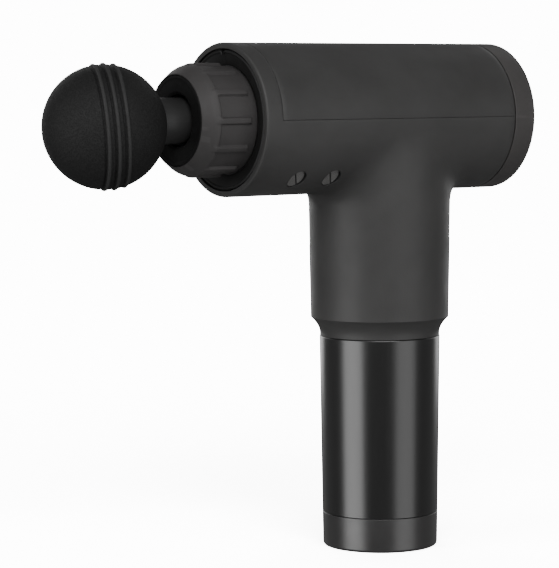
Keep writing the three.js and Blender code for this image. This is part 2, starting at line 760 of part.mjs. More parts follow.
add(rod, 'connecting_rod', connectingRod(), aluminium);
add(rod, 'big_end_bearing', rodRing(CRANK_PIN_RADIUS + CLEARANCE, BIG_END_BEARING, ROD_LENGTH), steel);
add(rod, 'small_end_bush', rodRing(WRIST_PIN_RADIUS + CLEARANCE, SMALL_END_BUSH, 0), brass);

// ---------------------------------------------------------------------------
// Piston: a clevis at the back for the rod, a socket at the front for the head's stem
// ---------------------------------------------------------------------------

const RING_GROOVES = [-86, -56];
const GROOVE_WIDTH = 2;
const GROOVE_RADIUS = PISTON_RADIUS - 1.1;

function piston() {
  const groove = (x) => [
    [PISTON_RADIUS, x - GROOVE_WIDTH / 2],
    [GROOVE_RADIUS, x - GROOVE_WIDTH / 2],
    [GROOVE_RADIUS, x + GROOVE_WIDTH / 2],
    [PISTON_RADIUS, x + GROOVE_WIDTH / 2],
  ];
  const body = turnedAlongX([
    [0, SOCKET_END],
    [STEM_RADIUS + 0.25, SOCKET_END],
    [STEM_RADIUS + 0.25, PISTON_FRONT + 0.8],
    [STEM_RADIUS + 0.9, PISTON_FRONT],
    [PISTON_RADIUS - 0.6, PISTON_FRONT],
    [PISTON_RADIUS, PISTON_FRONT + 0.6],
    ...RING_GROOVES.flatMap(groove),
    [PISTON_RADIUS, PISTON_REAR],
    [0, PISTON_REAR],
  ]);
  const slotHalf = ROD_THICKNESS / 2 + GAP;
  const slot = block([WRIST_X - 8.5, -20, -slotHalf], [PISTON_REAR + 5, 20, slotHalf]);
  const pinHole = bar(WRIST_PIN_RADIUS + CLEARANCE, -20, 20, WRIST_X, 0, SMALL_SEGMENTS);
  return cut(toSolid(body), [slot, pinHole]);
}

add(barrel, 'piston', piston(), aluminium);
add(barrel, 'wrist_pin', bar(WRIST_PIN_RADIUS, -10.8, 10.8, WRIST_X, 0, SMALL_SEGMENTS), steel);
RING_GROOVES.forEach((x, i) => {
  const half = GROOVE_WIDTH / 2 - 0.2;
  const seal = ringAlongX(GROOVE_RADIUS + 0.2, PISTON_RADIUS + 0.1, x - half, x + half);
  add(barrel, `piston_ring_${i + 1}`, seal, darkPlastic);
});

// ---------------------------------------------------------------------------
// Massage head: foam ball on a push-in stem
// ---------------------------------------------------------------------------

const STEM_END = -66;
const STEM_TIP = -131;
const O_RING_X = -80;

const stemProfile = [
  [0, STEM_TIP],
  [STEM_RADIUS, STEM_TIP],
  [STEM_RADIUS, O_RING_X - 1],
  [STEM_RADIUS - 1, O_RING_X - 1],
  [STEM_RADIUS - 1, O_RING_X + 1],
  [STEM_RADIUS, O_RING_X + 1],
  [STEM_RADIUS, STEM_END - 1.2],
  [STEM_RADIUS - 1.2, STEM_END],
  [0, STEM_END],
];

/** The ball, with three raised rings moulded round its middle. */
function massageBall() {
  const ringCentres = [-1, 0, 1].map((k) => BALL_RING_SHIFT + k * BALL_RING_PITCH);
  const ringPoints = ringCentres.flatMap((x) =>
    [-1, -0.5, 0.5, 1].map((share) => {
      const along = x + (share * BALL_RING_WIDTH) / 2;
      const lift = Math.abs(share) < 1 ? BALL_RING_HEIGHT : 0;
      return [Math.sqrt(BALL_RADIUS ** 2 - along ** 2) + lift, along];
    }),
  );
  const [bandStart, bandEnd] = [ringPoints[0], ringPoints.at(-1)].map(([, along]) =>
    THREE.MathUtils.radToDeg(Math.asin(along / BALL_RADIUS)),
  );
  const frontArc = arc(0, 0, BALL_RADIUS, -90, bandStart, 6).slice(0, -1);
  const rearArc = arc(0, 0, BALL_RADIUS, bandEnd, 90, 6).slice(1);
  const ball = turnedAlongX([...frontArc, ...ringPoints, ...rearArc], RING_SEGMENTS);
  ball.rotateY(-radians(BALL_TILT)).rotateZ(-radians(BALL_TURN));
  ball.translate(BALL_CENTRE, 0, -BALL_DROP);
  return cut(toSolid(ball), [barAlongX(STEM_RADIUS + 0.2, STEM_TIP - GAP, -100)]);
}

const oRing = ringAlongX(STEM_RADIUS - 0.8, STEM_RADIUS + 0.12, O_RING_X - 0.8, O_RING_X + 0.8);

add(barrel, 'massage_ball', massageBall(), foam);
add(barrel, 'head_stem', turnedAlongX(stemProfile), darkPlastic);
add(barrel, 'stem_o_ring', oRing, rubber);

// ---------------------------------------------------------------------------
// Battery: tube, foot cap, plug that goes up the grip, and what they hold
// ---------------------------------------------------------------------------

const TUBE_WALL = 1.7;
const TUBE_BOTTOM = BATTERY_SEAM + GAP;
const SPIGOT_RADIUS = BATTERY_SEAM_RADIUS - TUBE_WALL - GAP;
const SPIGOT_TOP = BATTERY_SEAM + 4;
const CELL_LOW = 15.8;
const CELL_PITCH = CELL_LENGTH + 0.8;
const CAP_SCREWS = [-17, 17];
const SWITCH_SIZE = [15, 11];
const ROCKER_SIZE = [11.6, 8];

const batteryTubeProfile = closed([
  [BATTERY_SEAM_RADIUS - TUBE_WALL, TUBE_BOTTOM],
  [BATTERY_SEAM_RADIUS, TUBE_BOTTOM],
  [BATTERY_TOP_RADIUS, BATTERY_TOP - 0.5],
  [BATTERY_TOP_RADIUS - 0.5, BATTERY_TOP],
  [BATTERY_TOP_RADIUS - TUBE_WALL, BATTERY_TOP],
]);

/** A switch-sized block above the foot, grown or shrunk by a margin on its four sides. */
function switchBlock(margin, low, high) {
  const [halfX, halfY] = SWITCH_SIZE.map((value) => value / 2 + margin);
  return block([SWITCH_X - halfX, -halfY, low], [SWITCH_X + halfX, halfY, high]);
}

function batteryCap() {
  const cup = turned(
    [
      [0, 0],
      ...arc(FOOT_RADIUS - FOOT_ROUNDING, FOOT_ROUNDING, FOOT_ROUNDING, -90, 0, 3),
      [BATTERY_SEAM_RADIUS, BATTERY_SEAM],
      [SPIGOT_RADIUS, BATTERY_SEAM],
      [SPIGOT_RADIUS, SPIGOT_TOP],
      [SPIGOT_RADIUS - 1.6, SPIGOT_TOP],
      [SPIGOT_RADIUS - 1.6, FLOOR_THICKNESS],
      [0, FLOOR_THICKNESS],
    ],
    SHELL_SEGMENTS,
  );
  const screwHoles = CAP_SCREWS.flatMap((y) => [
    bar(2.7, -1, 1.6, 0, y, SMALL_SEGMENTS),
    bar(SCREW_HOLE, -1, FLOOR_THICKNESS + 1, 0, y, SMALL_SEGMENTS),
  ]);
  const jackHole = bar(4.2, -1, FLOOR_THICKNESS + 1, JACK_X, 0);
  return cut(toSolid(cup), [switchBlock(GAP, -1, FLOOR_THICKNESS + 1), jackHole, ...screwHoles]);
}

/** The plug that slides up inside the grip, closed at the top round its two contacts. */
function batteryPlug() {
  const spigot = BATTERY_TOP_RADIUS - TUBE_WALL - 0.4;
  const ceiling = PLUG_TOP - 1.8;
  const bore = PLUG_RADIUS - 1.6;
  const shell = turned(
    [
      [0, ceiling],
      [bore, ceiling],
      [bore, BATTERY_TOP - 5.5],
      [spigot, BATTERY_TOP - 5.5],
      [spigot, BATTERY_TOP],
      [PLUG_RADIUS, BATTERY_TOP],
      [PLUG_RADIUS, PLUG_TOP - 1.2],
      [PLUG_RADIUS - 1.2, PLUG_TOP],
      [0, PLUG_TOP],
    ],
    RING_SEGMENTS,
  );
  const holes = TERMINALS.map((x) => bar(2.8, ceiling - 1, PLUG_TOP + 1, x, 0, SMALL_SEGMENTS));
  return cut(toSolid(shell), holes);
}

/** A ring that holds three cells apart inside the tube. */
function cellClip(low) {
  const disc = bar(SPIGOT_RADIUS - 0.4, low, low + 3);
  const cells = around(3, CELL_CIRCLE).map(([x, y]) =>
    bar(CELL_RADIUS + 0.2, low - 1, low + 4, x, y),
  );
  return cut(disc, [...cells, bar(CELL_CIRCLE, low - 1, low + 4)]);
}

const jackProfile = [
  [0, 11.5],
  [3.9, 11.5],
  [3.9, 0.4],
  [2.75, 0.4],
  [2.75, 9.8],
  [0.95, 9.8],
  [0.95, 2],
  [0, 2],
];

/** The rocker, lying in the off position. */
function rocker() {
  const [halfX, halfY] = ROCKER_SIZE.map((value) => value / 2);
  const side = new THREE.Shape([
    new THREE.Vector2(-halfX, -3),
    new THREE.Vector2(0, -2.4),
    new THREE.Vector2(halfX, -3),
    new THREE.Vector2(halfX - 1.2, 1),
    new THREE.Vector2(0, 2.4),
    new THREE.Vector2(1.2 - halfX, 1),
  ]);
  const geometry = new THREE.ExtrudeGeometry(side, { depth: 2 * halfY, bevelEnabled: false });
  return geometry.rotateX(Math.PI / 2).translate(0, halfY, 0);
}

add(massageGun, 'battery_tube', turned(batteryTubeProfile, SHELL_SEGMENTS), glossBlack);
add(massageGun, 'battery_cap', batteryCap(), capPlastic);
add(massageGun, 'battery_plug', batteryPlug(), darkPlastic);
add(massageGun, 'battery_board', bar(SPIGOT_RADIUS - 2.2, 13.4, 15), circuitBoard);

[0, 1].forEach((layer) => {
  around(3, CELL_CIRCLE).forEach(([x, y], i) => {
    const low = CELL_LOW + layer * CELL_PITCH;
    const cell = bar(CELL_RADIUS, low, low + CELL_LENGTH, x, y);
    add(massageGun, `cell_${layer * 3 + i + 1}`, cell, cellWrap);
  });
});

add(massageGun, 'cell_clip', cellClip(CELL_LOW + CELL_LENGTH / 2), darkPlastic);

TERMINALS.forEach((x, i) => {
  const stud = bar(2.5, PLUG_TOP - 1.6, PLUG_TOP + 0.5, x, 0, SMALL_SEGMENTS);
  add(massageGun, `battery_contact_${i + 1}`, stud, brass);
});

CAP_SCREWS.forEach((y, i) => {
  const screw = turned(screwProfile(2.4, 1.2, 1.1, 8), SMALL_SEGMENTS);
  add(massageGun, `cap_screw_${i + 1}`, screw.translate(0, y, 0.3), steel);
});

add(massageGun, 'charge_jack', turned(jackProfile).translate(JACK_X, 0, 0), steel);
add(
  massageGun,
  'switch_frame',
  switchBlock(0, 0.4, 9.5).subtract(switchBlock(-1.2, -1, 8)),
  darkPlastic,
);

const rockerPivot = new THREE.Group();
rockerPivot.position.set(SWITCH_X, 0, SWITCH_PIVOT);
rockerPivot.rotation.y = radians(-SWITCH_REST_TILT);
massageGun.add(rockerPivot);
add(rockerPivot, 'power_switch', rocker(), glossBlack);

export default massageGun;
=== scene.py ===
"""The looks of a cordless percussion massage gun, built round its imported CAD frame.

Everything is in metres, in the frame's own axes: the barrel lies along X with the massage head
towards -X, and the handle stands on the floor along Z.
"""

import json
from functools import partial
from math import acos, atan2, copysign, cos, hypot, pi, radians, sin, tan

import bmesh
import bpy
import numpy as np
from mathutils import Matrix, Vector


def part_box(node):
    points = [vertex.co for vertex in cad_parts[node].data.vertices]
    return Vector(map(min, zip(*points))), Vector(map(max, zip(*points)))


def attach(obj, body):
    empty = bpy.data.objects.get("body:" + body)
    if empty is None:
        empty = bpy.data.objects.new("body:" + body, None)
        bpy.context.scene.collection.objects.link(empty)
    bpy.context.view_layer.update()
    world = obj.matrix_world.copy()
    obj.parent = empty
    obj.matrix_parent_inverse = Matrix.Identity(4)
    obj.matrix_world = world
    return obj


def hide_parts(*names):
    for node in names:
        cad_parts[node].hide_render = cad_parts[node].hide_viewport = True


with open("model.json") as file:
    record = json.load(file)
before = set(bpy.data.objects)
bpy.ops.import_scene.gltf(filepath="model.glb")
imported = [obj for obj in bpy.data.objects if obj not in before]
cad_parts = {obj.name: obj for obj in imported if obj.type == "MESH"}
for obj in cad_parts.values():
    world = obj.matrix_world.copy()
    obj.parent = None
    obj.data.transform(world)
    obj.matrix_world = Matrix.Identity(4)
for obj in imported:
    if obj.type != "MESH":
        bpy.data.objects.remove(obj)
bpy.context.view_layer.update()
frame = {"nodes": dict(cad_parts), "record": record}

MM = 0.001

# ---- Places, from the frame ----

REAR_LOW, REAR_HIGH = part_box("rear_cap")
HOUSING_LOW, HOUSING_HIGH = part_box("main_housing")
NOSE_LOW, NOSE_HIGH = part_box("nose_collar")
TUBE_LOW, TUBE_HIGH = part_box("battery_tube")
CAP_LOW, CAP_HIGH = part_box("battery_cap")
PLUG_LOW, PLUG_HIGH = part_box("battery_plug")
STEM_LOW, STEM_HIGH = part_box("head_stem")
BALL_LOW, BALL_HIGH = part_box("massage_ball")
LENS_LOW, LENS_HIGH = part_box("display_lens")
SWITCH_LOW, SWITCH_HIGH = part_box("switch_frame")

AXIS_Z = (REAR_LOW.z + REAR_HIGH.z) / 2
BARREL_RADIUS = (REAR_HIGH.y - REAR_LOW.y) / 2 - 0.01 * MM  # just inside the CAD barrel
BARREL_FRONT = HOUSING_LOW.x
COVER_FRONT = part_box("top_cover")[0].x
REAR_SEAM = HOUSING_HIGH.x
BARREL_REAR = REAR_HIGH.x
GRIP_BOTTOM = HOUSING_LOW.z
BARREL_CENTRE = Vector((0, 0, AXIS_Z))

# ---- Sizes of the visible shapes ----

WALL = 2.6 * MM
SEAM = 0.1 * MM  # between the top cover and the lower housing
REAR_GROOVE = 0.7 * MM
EDGE = 0.25 * MM  # rounding of a moulded edge
RIM_ROUNDING = 0.7 * MM
BARREL_BORE = BARREL_RADIUS - WALL

GRIP_TOP = 146 * MM
GRIP_TOP_RADIUS = 29.5 * MM
GRIP_LOW = 95.9 * MM
GRIP_LOW_RADIUS = 28.6 * MM
NECK_TOP = 88.9 * MM
NECK_RADIUS = 24.8 * MM
BLEND_FLOOR = 134 * MM  # below this height the grip is plain
JUNCTION_FILLET = 8 * MM
SADDLE_FILLET = 13 * MM

VENT_CENTRES = (-57.1 * MM, -39.9 * MM)
VENT_HALF_LENGTH = 3.9 * MM
VENT_HALF_HEIGHT = 5 * MM
VENT_ANGLE = radians(39)  # from straight down, round the barrel
VENT_SLANT = radians(29.5)  # of the gap between the pads, leaning forwards
VENT_DEPTH = 0.8 * MM
VENT_LEAN = 0.12  # how fast the pads sink towards the top of the vent
VENT_SWEEP = 0.09  # and towards its rear
PAD_SHIFT = (-0.12 * MM, 0.08 * MM)  # forwards and up

BUTTON_RADIUS = 7.5 * MM
BUTTON_HOLE = BUTTON_RADIUS + 0.4 * MM
LENS_RADIUS = (LENS_HIGH.y - LENS_LOW.y) / 2
LIGHT_COUNT = 10

BEZEL_BORE = 21.6 * MM
COLLAR_BORE = 16.3 * MM
COLLAR_SEAT = 12.3 * MM  # the step behind the dark ring
COLLAR_FACE_RADIUS = 18 * MM
SHOULDER_RADIUS = 22.2 * MM
PAD_DEPTH = 0.75 * MM
RIB_HEIGHT = 0.35 * MM
RIB_HALF_WIDTH = 1.3 * MM
RIB_COUNT = 12
NOSE_RING_BORE = 10.3 * MM

BALL_RADIUS = 24.05 * MM
BALL_TURN = radians(22.7)
BALL_TILT = radians(4.6)
RING_PITCH = 3.9 * MM
RING_SHIFT = 1.5 * MM
RING_HEIGHT = 0.55 * MM
RING_HALF_WIDTH = 0.95 * MM
GROOVE_OFFSET = 1.3 * MM  # from each ring's crest to the groove in front of it
GROOVE_DEPTH = 0.5 * MM
GROOVE_HALF_WIDTH = 0.7 * MM
STEM_RADIUS = (STEM_HIGH.y - STEM_LOW.y) / 2

TUBE_WALL = 1.7 * MM
FOOT_SEAM = TUBE_LOW.z + 0.6 * MM
FOOT_SEAM_RADIUS = (CAP_HIGH.x - CAP_LOW.x) / 2
FOOT_FLOOR = 2.6 * MM
PLUG_RADIUS = 21.9 * MM
PLUG_SPIGOT = 22.9 * MM
PLUG_ROOF = 1.8 * MM
ROCKER_HALF_LENGTH = 5.7 * MM
ROCKER_PIVOT = 4.2 * MM
ROCKER_REST = radians(-8)


# ---- Mesh helpers ----


def add_object(name, data):
    """An object in the scene that shows a mesh, a light or a camera."""
    made = bpy.data.objects.new(name, data)
    bpy.context.scene.collection.objects.link(made)
    return made


def new_object(name, vertices, faces):
    """A mesh object with doubled points welded and its faces turned outwards."""
    mesh = bpy.data.meshes.new(name)
    mesh.from_pydata([tuple(v) for v in vertices], [], faces)
    shape = bmesh.new()
    shape.from_mesh(mesh)
    bmesh.ops.remove_doubles(shape, verts=shape.verts, dist=1e-7)
    bmesh.ops.recalc_face_normals(shape, faces=shape.faces)
    shape.to_mesh(mesh)
    shape.free()
    return add_object(name, mesh)


def grid_faces(rows, columns, wrap_rows=False, wrap_columns=True):
    """Quads between rows of points that are numbered row by row."""
    faces = []
    for i in range(rows if wrap_rows else rows - 1):
        low, high = i * columns, (i + 1) % rows * columns
        for k in range(columns if wrap_columns else columns - 1):
            after = (k + 1) % columns
            faces.append((low + k, low + after, high + after, high + k))
    return faces


def stack_faces(rows, columns):
    """The faces of a stack of closed outlines, with a cap on each end."""
    last = (rows - 1) * columns
    caps = [tuple(range(columns))[::-1], tuple(range(last, last + columns))]
    return grid_faces(rows, columns) + caps


def weighted_normals(piece):
    """Keeps flat faces flat beside small rounded edges."""
    modifier = piece.modifiers.new("weighted", "WEIGHTED_NORMAL")
    modifier.keep_sharp = True
    return piece


def apply_modifiers(piece):
    """Makes the modifiers' result the piece's own mesh."""
    depsgraph = bpy.context.evaluated_depsgraph_get()
    made = bpy.data.meshes.new_from_object(piece.evaluated_get(depsgraph))
    piece.modifiers.clear()
    piece.data = made


def thicken(piece, weights=""):
    """Gives an open skin its wall, inwards, with fine bevels along the wall's edges."""
    wall = piece.modifiers.new("wall", "SOLIDIFY")
    wall.thickness = WALL
    wall.offset = -1
    wall.use_even_offset = bool(weights)
    wall.vertex_group = weights
    edges = piece.modifiers.new("edges", "BEVEL")
    edges.width = 0.16 * MM
    edges.segments = 2
    edges.angle_limit = radians(50)
    apply_modifiers(piece)


def joined(name, pieces):
    """One object made of several, which are removed."""
    vertices, faces = [], []
    for piece in pieces:
        start = len(vertices)
        vertices += [v.co.copy() for v in piece.data.vertices]
        faces += [tuple(start + k for k in face.vertices) for face in piece.data.polygons]
        bpy.data.objects.remove(piece)
    return new_object(name, vertices, faces)


def cut(piece, tools, overlapping=False):
    """Takes the tools' shapes out of a piece, and removes the tools."""
    cutter = joined("cutter", tools)
    modifier = piece.modifiers.new("cut", "BOOLEAN")
    modifier.operation = "DIFFERENCE"
    modifier.solver = "EXACT"
    modifier.use_self = overlapping
    modifier.object = cutter
    apply_modifiers(piece)
    bpy.data.objects.remove(cutter)


def smoothstep(low, high, value):
    share = np.clip((np.asarray(value, float) - low) / (high - low), 0, 1)
    return share * share * (3 - 2 * share)


ALMOST_STRAIGHT = radians(86)  # half of a corner's angle, above which it is left as it is


def round_corners(profile, radius, closed, steps=3):
    """Rounds a profile's corners. A point may state its own rounding as a third number."""
    count = len(profile)
    points = [np.array(p[:2], float) for p in profile]
    rounded = []
    for i, corner in enumerate(points):
        ends = not closed and i in (0, count - 1)
        size = profile[i][2] if len(profile[i]) > 2 else radius
        if ends or size == 0:
            rounded.append(corner)
            continue
        before, after = points[i - 1] - corner, points[(i + 1) % count] - corner
        reach = min(np.linalg.norm(before), np.linalg.norm(after)) * 0.45
        before, after = before / np.linalg.norm(before), after / np.linalg.norm(after)
        half = acos(np.clip(before @ after, -1, 1)) / 2
        if half > ALMOST_STRAIGHT:
            rounded.append(corner)
            continue
        setback = min(size / tan(half), reach)
        for k in range(steps + 1):
            t = k / steps
            curve = (1 - t) ** 2 * before + t**2 * after
            rounded.append(corner + setback * curve)
    return rounded


def lathe(name, profile, axis="Z", centre=(0, 0, 0), segments=160, rounding=EDGE, shape=None):
    """Turns a profile of (radius, height) points about an axis.

    A profile that starts and ends on the axis is closed there; any other is closed on itself.
    shape(radius, height, angle) may change the radius of each point.
    """
    on_axis = profile[0][0] == 0 and profile[-1][0] == 0
    points = round_corners(profile, rounding, closed=not on_axis)
    flat = np.zeros((len(points), segments))
    radius = np.array([p[0] for p in points])[:, None] + flat
    height = np.array([p[1] for p in points])[:, None] + flat
    angle = (np.arange(segments) * 2 * pi / segments)[None, :] + flat
    if shape:
        radius = shape(radius, height, angle)
    first, second = radius * np.cos(angle), radius * np.sin(angle)
    grid = [height, first, second] if axis == "X" else [first, second, height]
    vertices = np.stack(grid, axis=-1).reshape(-1, 3) + np.array(centre)
    return new_object(name, vertices, grid_faces(len(points), segments, wrap_rows=not on_axis))


def rounded_plate(name, outline, low, high, edge=EDGE, steps=2):
    """A plate of an (x, y) outline between two heights, with both rims rounded."""
    outline = np.array(outline, float)
    middle = outline.mean(axis=0)
    towards = (outline - middle) / np.linalg.norm(outline - middle, axis=1, keepdims=True)
    levels = []
    for k in range(steps + 1):
        turn = pi / 2 * k / steps
        levels.append((low + edge * (1 - sin(turn)), edge * (1 - cos(turn))))
    levels = sorted(levels + [(low + high - z, inset) for z, inset in levels])
    vertices = [(*point, z) for z, inset in levels for point in outline - towards * inset]
    return new_object(name, vertices, stack_faces(len(levels), len(outline)))


def rounded_rectangle(half_x, half_y, radius, steps=5):
    """Outline points of a rectangle with round corners."""
    points = []
    for quarter, (sx, sy) in enumerate(((1, 1), (-1, 1), (-1, -1), (1, -1))):
        for k in range(steps + 1):
            angle = pi / 2 * (quarter + k / steps)
            x = sx * (half_x - radius) + radius * cos(angle)
            points.append((x, sy * (half_y - radius) + radius * sin(angle)))
    return points


def upright_place(node, height=0):
    """The point at a height on a CAD node's upright middle line."""
    low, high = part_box(node)
    return Vector(((low.x + high.x) / 2, (low.y + high.y) / 2, height))


# ---- Materials ----

MATERIALS = {}  # by name: one for each slot, and those of a few details


class Nodes:
    """A short way to build one material's nodes. The material is added to MATERIALS."""

    def __init__(self, name):
        self.material = MATERIALS[name] = bpy.data.materials.new(name)
        self.material.use_nodes = True
        self.tree = self.material.node_tree
        self.shader = self.tree.nodes["Principled BSDF"]
        self.place = self.tree.nodes.new("ShaderNodeTexCoord").outputs["Object"]

    def node(self, kind, **settings):
        made = self.tree.nodes.new(kind)
        for key, value in settings.items():
            setattr(made, key, value)
        return made

    def link(self, output, target):
        self.tree.links.new(output, target)

    def constants(self, node, values):
        """Sets a node's sockets to those values."""
        for key, value in values.items():
            node.inputs[key.replace("_", " ")].default_value = value

    def finished(self, colour, roughness=None, normal=None, **values):
        """Feeds the shader's inputs and sets its other sockets."""
        for key, output in (("Base Color", colour), ("Roughness", roughness), ("Normal", normal)):
            if output:
                self.link(output, self.shader.inputs[key])
        self.constants(self.shader, values)

    def texture(self, kind, vector=None, settings=None, **values):
        """A texture node with those input values, on the object's own coordinates or others."""
        made = self.node(kind, **(settings or {}))
        self.constants(made, values)
        self.link(vector or self.place, made.inputs["Vector"])
        return made.outputs

    def stretched(self, scale):
        return self.texture("ShaderNodeMapping", Scale=scale)["Vector"]

    def noise(self, scale, detail=3.0, vector=None):
        values = {"Scale": scale, "Detail": detail, "Roughness": 0.55}
        return self.texture("ShaderNodeTexNoise", vector, **values)["Fac"]

    def cells(self, scale):
        return self.texture("ShaderNodeTexVoronoi", Scale=scale)["Distance"]

    def ranged(self, value, low, high, start=0.0, end=1.0):
        """Maps start..end of a value to low..high."""
        made = self.node("ShaderNodeMapRange")
        self.constants(made, {"From Min": start, "From Max": end, "To Min": low, "To Max": high})
        self.link(value, made.inputs["Value"])
        return made.outputs["Result"]

    def mixed(self, share, first, second):
        """A colour between two, each a colour or an output."""
        made = self.node("ShaderNodeMix", data_type="RGBA")
        self.link(share, made.inputs["Factor"])
        for socket, value in ((made.inputs[6], first), (made.inputs[7], second)):
            if isinstance(value, bpy.types.NodeSocket):
                self.link(value, socket)
            else:
                socket.default_value = (*value, 1)
        return made.outputs[2]

    def bumped(self, height, distance, under=None):
        """A bump of that height in metres, on top of another one's normal."""
        made = self.node("ShaderNodeBump")
        self.constants(made, {"Strength": 1.0, "Distance": distance})
        self.link(height, made.inputs["Height"])
        if under:
            self.link(under, made.inputs["Normal"])
        return made.outputs["Normal"]

    def worn_edges(self, amount):
        """That amount on convex edges, times an uneven share."""
        edges = self.node("ShaderNodeNewGeometry").outputs["Pointiness"]
        product = self.node("ShaderNodeMath", operation="MULTIPLY")
        self.link(self.ranged(edges, 0.0, amount, 0.515, 0.58), product.inputs[0])
        self.link(self.ranged(self.noise(60), 0.4, 1.0, 0.3, 0.7), product.inputs[1])
        return product.outputs[0]


def lighter(colour, factor):
    return tuple(min(1.0, value * factor) for value in colour)


def moulded(name, colour, roughness, grain=0.00006, grain_scale=2600, wear=0.35, **constants):
    """Moulded plastic: fine spark-eroded grain, faint mottling, uneven polish and worn edges."""
    made = Nodes(name)
    mottle = made.ranged(made.noise(34, detail=5), 0.0, 1.0, 0.35, 0.65)
    base = made.mixed(mottle, lighter(colour, 0.9), lighter(colour, 1.1))
    fine = made.bumped(made.noise(grain_scale, detail=2), grain)
    made.finished(
        made.mixed(made.worn_edges(wear), base, lighter(colour, 1.9)),
        made.ranged(made.noise(90, detail=4), roughness - 0.05, roughness + 0.05, 0.3, 0.7),
        made.bumped(made.noise(240, detail=2), grain * 0.6, under=fine),
        **constants,
    )


def gloss(name, colour, roughness):
    """Polished black plastic with a clear coat, hairline scratches and a little dust."""
    made = Nodes(name)
    dust = made.ranged(made.noise(1500, detail=3), 0.0, 0.35, 0.62, 0.8)
    scratches = made.noise(70, detail=6, vector=made.stretched((14, 14, 1)))
    made.finished(
        made.mixed(dust, colour, lighter(colour, 3)),
        made.ranged(scratches, roughness - 0.02, roughness + 0.03, 0.35, 0.75),
        made.bumped(made.noise(130, detail=1), 0.000012),
        Coat_Weight=0.9, Coat_Roughness=0.26, Specular_IOR_Level=1.0,
    )


def foam_rubber(name, colour):
    """Closed-cell foam: a dense field of fine pits, darker at their bottoms as painted shade, and
    paler on the ball's ring crests as a painted highlight.
    """
    made = Nodes(name)
    pits = made.cells(1700)
    # The pits are painted darker at their bottoms and paler on their walls: painted shade.
    wall = made.ranged(pits, 0.0, 1.0, 0.1, 0.7)
    base = made.mixed(wall, lighter(colour, 0.6), lighter(colour, 1.5))
    reach = made.node("ShaderNodeVectorMath", operation="LENGTH")
    made.link(made.place, reach.inputs[0])
    # The ball's ring crests are painted paler, which is a painted highlight.
    skin, crest = BALL_RADIUS + 0.1 * MM, BALL_RADIUS + 0.8 * RING_HEIGHT
    crest_highlight = made.ranged(reach.outputs["Value"], 0.0, 0.8, skin, crest)
    deep = made.bumped(pits, 0.00008)
    made.finished(
        made.mixed(crest_highlight, base, lighter(colour, 3.6)),
        made.ranged(made.noise(700), 0.6, 0.75, 0.3, 0.7),
        made.bumped(made.noise(2400, detail=4), 0.00006, under=deep),
        Specular_IOR_Level=0.28,
    )


def soft_rubber(name, colour):
    """Matt rubber with a talc-like bloom."""
    made = Nodes(name)
    bloom = made.ranged(made.noise(160, detail=5), 0.0, 0.6, 0.45, 0.75)
    made.finished(
        made.mixed(bloom, colour, lighter(colour, 1.8)),
        made.ranged(made.noise(320), 0.6, 0.8, 0.3, 0.7),
        made.bumped(made.noise(1800), 0.00005),
        Specular_IOR_Level=0.4,
    )


def metal(name, colour, roughness, brushed=(1, 1, 30)):
    """Bare metal with a tool's fine lines and uneven polish."""
    made = Nodes(name)
    lines = made.noise(900, detail=3, vector=made.stretched(brushed))
    stain = made.ranged(made.noise(45, detail=4), 0.0, 1.0, 0.35, 0.7)
    made.finished(
        made.mixed(stain, lighter(colour, 0.82), colour),
        made.ranged(lines, roughness - 0.08, roughness + 0.12, 0.3, 0.7),
        made.bumped(lines, 0.00002),
        Metallic=1.0,
    )


def enamelled_wire(name, colour):
    """Copper windings: parallel turns of varnished wire, painted darker between the turns as
    painted shade.
    """
    made = Nodes(name)
    bands = {"bands_direction": "Z", "wave_profile": "SIN"}
    turns = made.texture("ShaderNodeTexWave", settings=bands, Scale=620, Distortion=0.6)["Fac"]
    # The grooves between the turns are painted darker: painted shade.
    made.finished(
        made.mixed(turns, lighter(colour, 0.45), colour),
        made.ranged(made.noise(300), 0.25, 0.45),
        made.bumped(turns, 0.0002),
        Metallic=0.85, Coat_Weight=0.4,
    )


def circuit_board(name, colour):
    """Solder mask with copper tracks showing under it and tinned pads."""
    made = Nodes(name)
    tracks = made.texture("ShaderNodeTexBrick", Scale=190, Mortar_Size=0.012)["Fac"]
    pads = made.ranged(made.cells(420), 1.0, 0.0, 0.1, 0.16)
    masked = made.mixed(tracks, colour, lighter(colour, 2.4))
    made.finished(
        made.mixed(pads, masked, (0.6, 0.6, 0.56)),
        made.ranged(made.noise(200), 0.3, 0.5),
        made.bumped(tracks, 0.00004),
    )


def shrink_wrap(name, colour):
    """A cell's shrink sleeve: glossy film with fine wrinkles, painted paler along their crests as a
    painted highlight.
    """
    made = Nodes(name)
    wrinkles = made.noise(120, detail=5, vector=made.stretched((1, 1, 6)))
    # The wrinkles' raised crests are painted paler: a painted highlight.
    made.finished(
        made.mixed(made.ranged(wrinkles, 0.0, 1.0, 0.4, 0.7), colour, lighter(colour, 1.4)),
        made.ranged(made.noise(260), 0.22, 0.38),
        made.bumped(wrinkles, 0.00008),
        Coat_Weight=0.3,
    )


def marking_ink(name, colour):
    """Pad-printed ink, slightly uneven."""
    made = Nodes(name)
    patchy = made.ranged(made.noise(900, detail=4), 0.0, 1.0, 0.3, 0.7)
    made.finished(
        made.mixed(patchy, lighter(colour, 0.85), colour),
        made.ranged(made.noise(400), 0.35, 0.55),
    )


def dust_screen(name, colour):
    """Fine woven mesh in the vents, painted darker on the sunk squares of the weave as painted
    shade.
    """
    made = Nodes(name)
    weave = made.texture("ShaderNodeTexChecker", Scale=2600)["Fac"]
    # The sunk squares of the weave are painted darker: painted shade.
    made.finished(
        made.mixed(weave, lighter(colour, 0.75), lighter(colour, 1.15)),
        made.ranged(made.noise(500), 0.55, 0.75),
        made.bumped(weave, 0.00006),
    )


SOFT_TOUCH = {"grain": 0.00003, "grain_scale": 1500, "wear": 0.25, "Specular_IOR_Level": 0.47}
POLISHED = {"grain": 0.00002, "Coat_Weight": 0.9, "Coat_Roughness": 0.33, "Specular_IOR_Level": 1.0}

